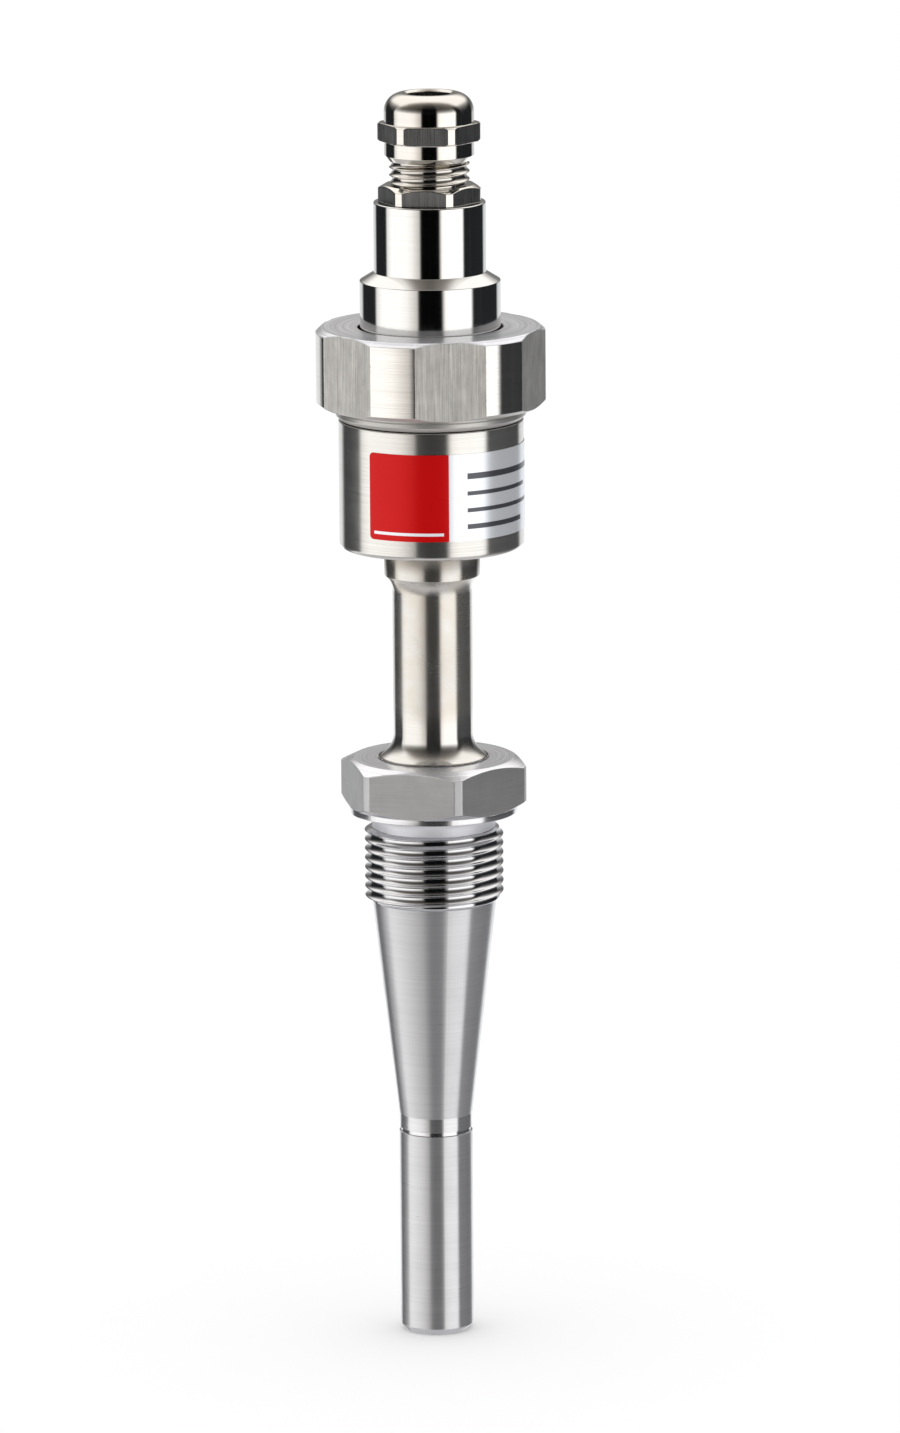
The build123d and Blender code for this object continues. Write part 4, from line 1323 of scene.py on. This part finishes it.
class PROBE_OT_dome_nut(bpy.types.Operator):
    """Skin the dome nut of the cable gland."""

    bl_idname = "probe.dome_nut"
    bl_label = "Dome nut"

    def execute(self, context):
        s = context.scene.probe_gland
        bottom, top = low("gland_dome_nut"), high("gland_dome_nut")
        hexagon = Hexagon(s.flat, s.turned, s.dome_corner)
        flange_low = bottom + s.skirt
        flange_high = flange_low + s.flange_height
        thread_top = bottom + s.nut_thread_depth
        chamfer = mm(0.45)
        entry_low = top - s.entry_length
        turned = s.turned - s.flange_chamfer
        outline = [
            at(s.entry + chamfer, top, mm(0.15)),
            at(s.entry, top - chamfer, mm(0.15)),
            at(s.entry, entry_low),
            at(s.nut_bore, entry_low - (s.nut_bore - s.entry)),
            at(s.nut_bore, thread_top),
            at(s.nut_thread, thread_top),
            at(s.nut_thread, bottom, mm(0.05)),
            at(s.skirt_end, bottom, mm(0.05)),
            at(s.dome, bottom + s.skirt_chamfer, mm(0.2)),
            at(s.dome, flange_low, mm(0.15)),
            at(turned, flange_low, mm(0.08)),
            at(s.turned, flange_low + s.flange_chamfer, mm(0.08)),
            at(s.turned, flange_high - s.flange_chamfer, mm(0.08)),
            at(turned, flange_high, mm(0.08)),
            at(s.dome, flange_high, mm(0.15)),
        ]
        outline += arc((s.dome - s.dome_round, flange_high + s.collar), s.dome_round, 0, 90, 18)
        mesh = start_skin()
        lathe(mesh, outline, column_angles(hexagon), hexagon, closed=True)
        choose = by_flats(hexagon, "gland_flats", "gland_polished")
        node = "gland_dome_nut"
        add_skin(mesh, "dome_nut_skin", "dome_nut", node, GLAND_FINISHES, choose)
        return {"FINISHED"}


# Finishes of the pieces that keep their CAD form
CARRIED_OVER = {
    "gland_clamp_cage": "cage_plastic",
    "gland_seal": "seal_rubber",
    "head_o_ring": "seal_rubber",
    "gland_o_ring": "seal_rubber",
    "insert_sheath": "sheath_steel",
    "sensor_element": "sensor_ceramic",
    "insulator_rod": "block_ceramic",
    "lead_wires": "wire_nickel",
    "insert_plate": "screw_steel",
    "terminal_block": "block_ceramic",
    "terminal_clamps": "clamp_brass",
    "terminal_screws": "screw_steel",
    "block_screws": "screw_steel",
    "mounting_screws": "screw_steel",
    "insert_springs": "spring_steel",
    "earth_screw": "screw_steel",
    "earth_washer": "screw_steel",
}


class PROBE_OT_inner_pieces(bpy.types.Operator):
    """Give the pieces inside the head and well their finishes."""

    bl_idname = "probe.inner_pieces"
    bl_label = "Inner pieces"

    def execute(self, context):
        for node, look in CARRIED_OVER.items():
            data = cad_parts[node].data
            data.materials.clear()
            data.materials.append(finish(look))
        return {"FINISHED"}


# Studio: what the metal mirrors on the level, as (degrees from the front, brightness, warmth)
AROUND = [
    (-180, 0.85, -0.03),
    (-150, 0.85, -0.03),
    (-141, 0.016, -0.2),
    (-102, 0.012, -0.2),
    (-97, 0.75, 0.02),
    (-85, 1.0, 0.02),
    (-50, 1.0, 0.03),
    (-38, 0.9, 0.05),
    (-26, 0.62, 0.08),
    (-21.5, 0.5, 0.08),
    (-18, 0.02, 0.0),
    (-15, 0.001, 0.0),
    (19, 0.001, 0.0),
    (25, 0.95, 0.06),
    (34, 1.1, 0.02),
    (70, 1.1, 0.0),
    (75, 0.012, -0.2),
    (139, 0.016, -0.2),
    (147, 0.85, -0.04),
    (180, 0.85, -0.03),
]
# How that light fades up and down, by degrees over the level
UPWARD = [
    (-45, 0.2, 0.0),
    (-30, 0.5, 0.0),
    (-20, 0.85, 0.0),
    (-14, 1.0, 0.0),
    (6, 1.0, 0.0),
    (14, 0.5, 0.0),
    (22, 0.2, 0.03),
    (30, 0.085, 0.1),
    (38, 0.05, 0.15),
    (60, 0.03, 0.2),
]
# The light overhead, by forward over upward, then by aside over upward and by backward over upward
FORWARD = [
    (-0.15, 0.94, 0.05),
    (0.0, 0.68, 0.07),
    (0.1, 0.42, 0.12),
    (0.2, 0.22, 0.16),
    (0.35, 0.11, 0.18),
    (0.55, 0.05, 0.15),
    (0.85, 0.02, 0.0),
    (1.3, 0.003, -0.2),
]
ASIDE = [
    (1.0, 1.0, 0.0),
    (1.24, 0.9, 0.0),
    (1.67, 0.38, 0.0),
    (2.4, 0.14, 0.0),
    (3.9, 0.05, 0.0),
    (8.0, 0.015, -0.1),
]
BACKWARD = [(1.3, 1.0, 0.0), (1.7, 0.9, 0.0), (2.4, 0.52, 0.0), (3.9, 0.15, 0.0), (8.0, 0.03, 0.0)]
UNDER = (0.50, 0.495, 0.51)  # what metal mirrors from below
UNDER_FROM, UNDER_FULL = -26, -55  # degrees over the level, as in the next pair
GLOW = (0.15, 0.15, 0.16)  # a faint glow low down at the sides
GLOW_FROM, GLOW_FULL = -9, -20
BEHIND_FROM, BEHIND_FULL = 136, 146  # where the light behind begins, in degrees from the front
BEHIND_LOWER = 20.0  # how much lower than the boxes it ends, in degrees
NARROWING = -3.2  # degrees that the left box moves out for each degree of climb
NARROWING_START = -50.0  # keeps it in place down to 15.6 degrees below the level
NARROWED_FROM, NARROWED_FULL = -2, -20  # where it moves, in degrees from the front
FLOOR_REACH = 14.0


def graded(tree, value, stops):
    """A colour graded over a value by stops of (value, brightness, warmth)."""
    first, last = stops[0][0], stops[-1][0]
    share = reckon(tree, "DIVIDE", reckon(tree, "SUBTRACT", value, first), last - first)
    node = tree.nodes.new("ShaderNodeValToRGB")
    ramp = node.color_ramp
    while len(ramp.elements) > 1:
        ramp.elements.remove(ramp.elements[-1])
    for number, (place, bright, warmth) in enumerate(stops):
        spot = (place - first) / (last - first)
        element = ramp.elements[0] if number == 0 else ramp.elements.new(spot)
        element.position = spot
        element.color = (bright * (1 + warmth / 2), bright, bright * (1 - warmth / 2), 1.0)
    tree.links.new(share, node.inputs[0])
    return node.outputs[0]


def blended(tree, kind, first, second):
    """Two colours multiplied or added."""
    node = tree.nodes.new("ShaderNodeMix")
    node.data_type = "RGBA"
    node.blend_type = kind
    for number, value in ((0, 1.0), (6, first), (7, second)):
        feed(tree, value, node.inputs[number])
    return node.outputs[2]


def soft_boxes(tree, x, y, climb):
    """What the metal mirrors on the level, fading up and down."""
    around = reckon(tree, "DEGREES", reckon(tree, "ARCTAN2", x, times(tree, y, -1.0)))
    behind = between(tree, reckon(tree, "ABSOLUTE", around), BEHIND_FROM, BEHIND_FULL)
    fade = graded(tree, reckon(tree, "MULTIPLY_ADD", behind, BEHIND_LOWER, climb), UPWARD)
    below = reckon(tree, "MULTIPLY_ADD", climb, NARROWING, NARROWING_START)
    below = reckon(tree, "MAXIMUM", below, 0.0)
    shift = times(tree, between(tree, around, NARROWED_FROM, NARROWED_FULL), below)
    boxes = blended(tree, "MULTIPLY", graded(tree, reckon(tree, "ADD", around, shift), AROUND), fade)
    lit = times(tree, between(tree, climb, GLOW_FROM, GLOW_FULL), reckon(tree, "ABSOLUTE", x))
    return blended(tree, "ADD", boxes, mix_colour(tree, lit, (0.0, 0.0, 0.0), GLOW))


def overhead(tree, x, y, z):
    """What the metal mirrors from above."""
    over = reckon(tree, "MAXIMUM", z, 0.01)
    backward = reckon(tree, "DIVIDE", y, over)
    ceiling = graded(tree, times(tree, backward, -1.0), FORWARD)
    aside = graded(tree, reckon(tree, "DIVIDE", reckon(tree, "ABSOLUTE", x), over), ASIDE)
    ceiling = blended(tree, "MULTIPLY", ceiling, aside)
    return blended(tree, "MULTIPLY", ceiling, graded(tree, backward, BACKWARD))


def backdrop(tree, strength):
    """A white world background of one strength."""
    node = tree.nodes.new("ShaderNodeBackground")
    wire(tree, node, Color=(1.0, 1.0, 1.0, 1.0), Strength=strength)
    return node


def studio_world(settings):
    """Even light on matt surfaces, and for metal to mirror, soft boxes at the sides and overhead."""
    world = bpy.data.worlds.new("studio")
    world.use_nodes = True
    tree = world.node_tree
    tree.nodes.clear()
    x, y, z = split(tree, tree.nodes.new("ShaderNodeTexCoord").outputs["Generated"])
    climb = reckon(tree, "DEGREES", reckon(tree, "ARCSINE", z))
    mirrored = blended(tree, "ADD", soft_boxes(tree, x, y, climb), overhead(tree, x, y, z))
    mirrored = mix_colour(tree, between(tree, climb, UNDER_FROM, UNDER_FULL), mirrored, UNDER)
    glossy, even = backdrop(tree, settings.key), backdrop(tree, settings.room)
    wire(tree, glossy, Color=mirrored)
    path = tree.nodes.new("ShaderNodeLightPath")
    pick = tree.nodes.new("ShaderNodeMixShader")
    choices = (path.outputs["Is Glossy Ray"], even.outputs[0], glossy.outputs[0])
    for value, socket in zip(choices, pick.inputs):
        tree.links.new(value, socket)
    wire(tree, tree.nodes.new("ShaderNodeOutputWorld"), Surface=pick.outputs[0])
    world.cycles.sampling_method = "NONE"
    return world


class PROBE_OT_stage(bpy.types.Operator):
    """Lay the floor, set the light and place the camera."""

    bl_idname = "probe.stage"
    bl_label = "Floor, light and camera"

    def execute(self, context):
        scene = context.scene
        s = scene.probe_studio
        base = low("thermowell")
        data = bpy.data.meshes.new("studio_floor")
        signs = ((-1, -1), (1, -1), (1, 1), (-1, 1))
        corners = [(a * FLOOR_REACH, b * FLOOR_REACH, base) for a, b in signs]
        data.from_pydata(corners, [], [(0, 1, 2, 3)])
        floor = bpy.data.objects.new("studio_floor", data)
        scene.collection.objects.link(floor)
        material, tree, shader = new_material("studio_floor")
        paint = (*scene.probe_colours.floor, 1.0)
        wire(tree, shader, Base_Color=paint, Roughness=0.9, Specular_IOR_Level=0.1)
        data.materials.append(material)
        floor.visible_glossy = False
        scene.world = studio_world(s)
        lens = bpy.data.cameras.new("camera")
        lens.sensor_fit = "VERTICAL"
        lens.sensor_height = 36.0
        lens.lens = s.lens
        lens.clip_end = 100.0
        camera = bpy.data.objects.new("camera", lens)
        scene.collection.objects.link(camera)
        camera.location = (s.aside, -s.distance, s.height)
        tilt = math.atan2(s.height - s.aim, s.distance)
        upright = Euler((math.pi / 2 - tilt, 0.0, 0.0)).to_matrix()
        camera.rotation_euler = (upright @ Euler((0.0, 0.0, s.roll)).to_matrix()).to_euler()
        scene.camera = camera
        scene.view_settings.view_transform = "Standard"
        scene.view_settings.look = "None"
        return {"FINISHED"}


STEPS = (
    PROBE_OT_finishes,
    PROBE_OT_thermowell,
    PROBE_OT_neck,
    PROBE_OT_housing,
    PROBE_OT_label,
    PROBE_OT_union_nut,
    PROBE_OT_sleeve,
    PROBE_OT_gland,
    PROBE_OT_dome_nut,
    PROBE_OT_inner_pieces,
    PROBE_OT_stage,
)
SETTINGS = {
    "probe_edges": ProbeEdges,
    "probe_well": WellSizes,
    "probe_neck": NeckSizes,
    "probe_housing": HousingSizes,
    "probe_nut": NutSizes,
    "probe_sleeve": SleeveSizes,
    "probe_gland": GlandSizes,
    "probe_colours": FinishColours,
    "probe_studio": StudioSettings,
}


class VIEW3D_PT_probe(bpy.types.Panel):
    """The probe's pieces and their sizes."""

    bl_label = "Temperature probe"
    bl_space_type = "VIEW_3D"
    bl_region_type = "UI"
    bl_category = "Probe"

    def draw(self, context):
        layout = self.layout
        for step in STEPS:
            layout.operator(step.bl_idname)
        for name, group in SETTINGS.items():
            box = layout.box()
            box.label(text=group.__doc__.split(".")[0])
            for key in group.__annotations__:
                box.prop(getattr(context.scene, name), key)


def register():
    """Register the settings, operators and panel."""
    for name, group in SETTINGS.items():
        bpy.utils.register_class(group)
        setattr(bpy.types.Scene, name, PointerProperty(type=group))
    for step in STEPS:
        bpy.utils.register_class(step)
    bpy.utils.register_class(VIEW3D_PT_probe)


def unregister():
    """Remove them again."""
    bpy.utils.unregister_class(VIEW3D_PT_probe)
    for step in reversed(STEPS):
        bpy.utils.unregister_class(step)
    for name, group in SETTINGS.items():
        delattr(bpy.types.Scene, name)
        bpy.utils.unregister_class(group)


def main():
    """Build every piece."""
    register()
    for step in STEPS:
        section, name = step.bl_idname.split(".")
        getattr(getattr(bpy.ops, section), name)()
    bpy.context.view_layer.update()


if __name__ == "__main__":
    main()
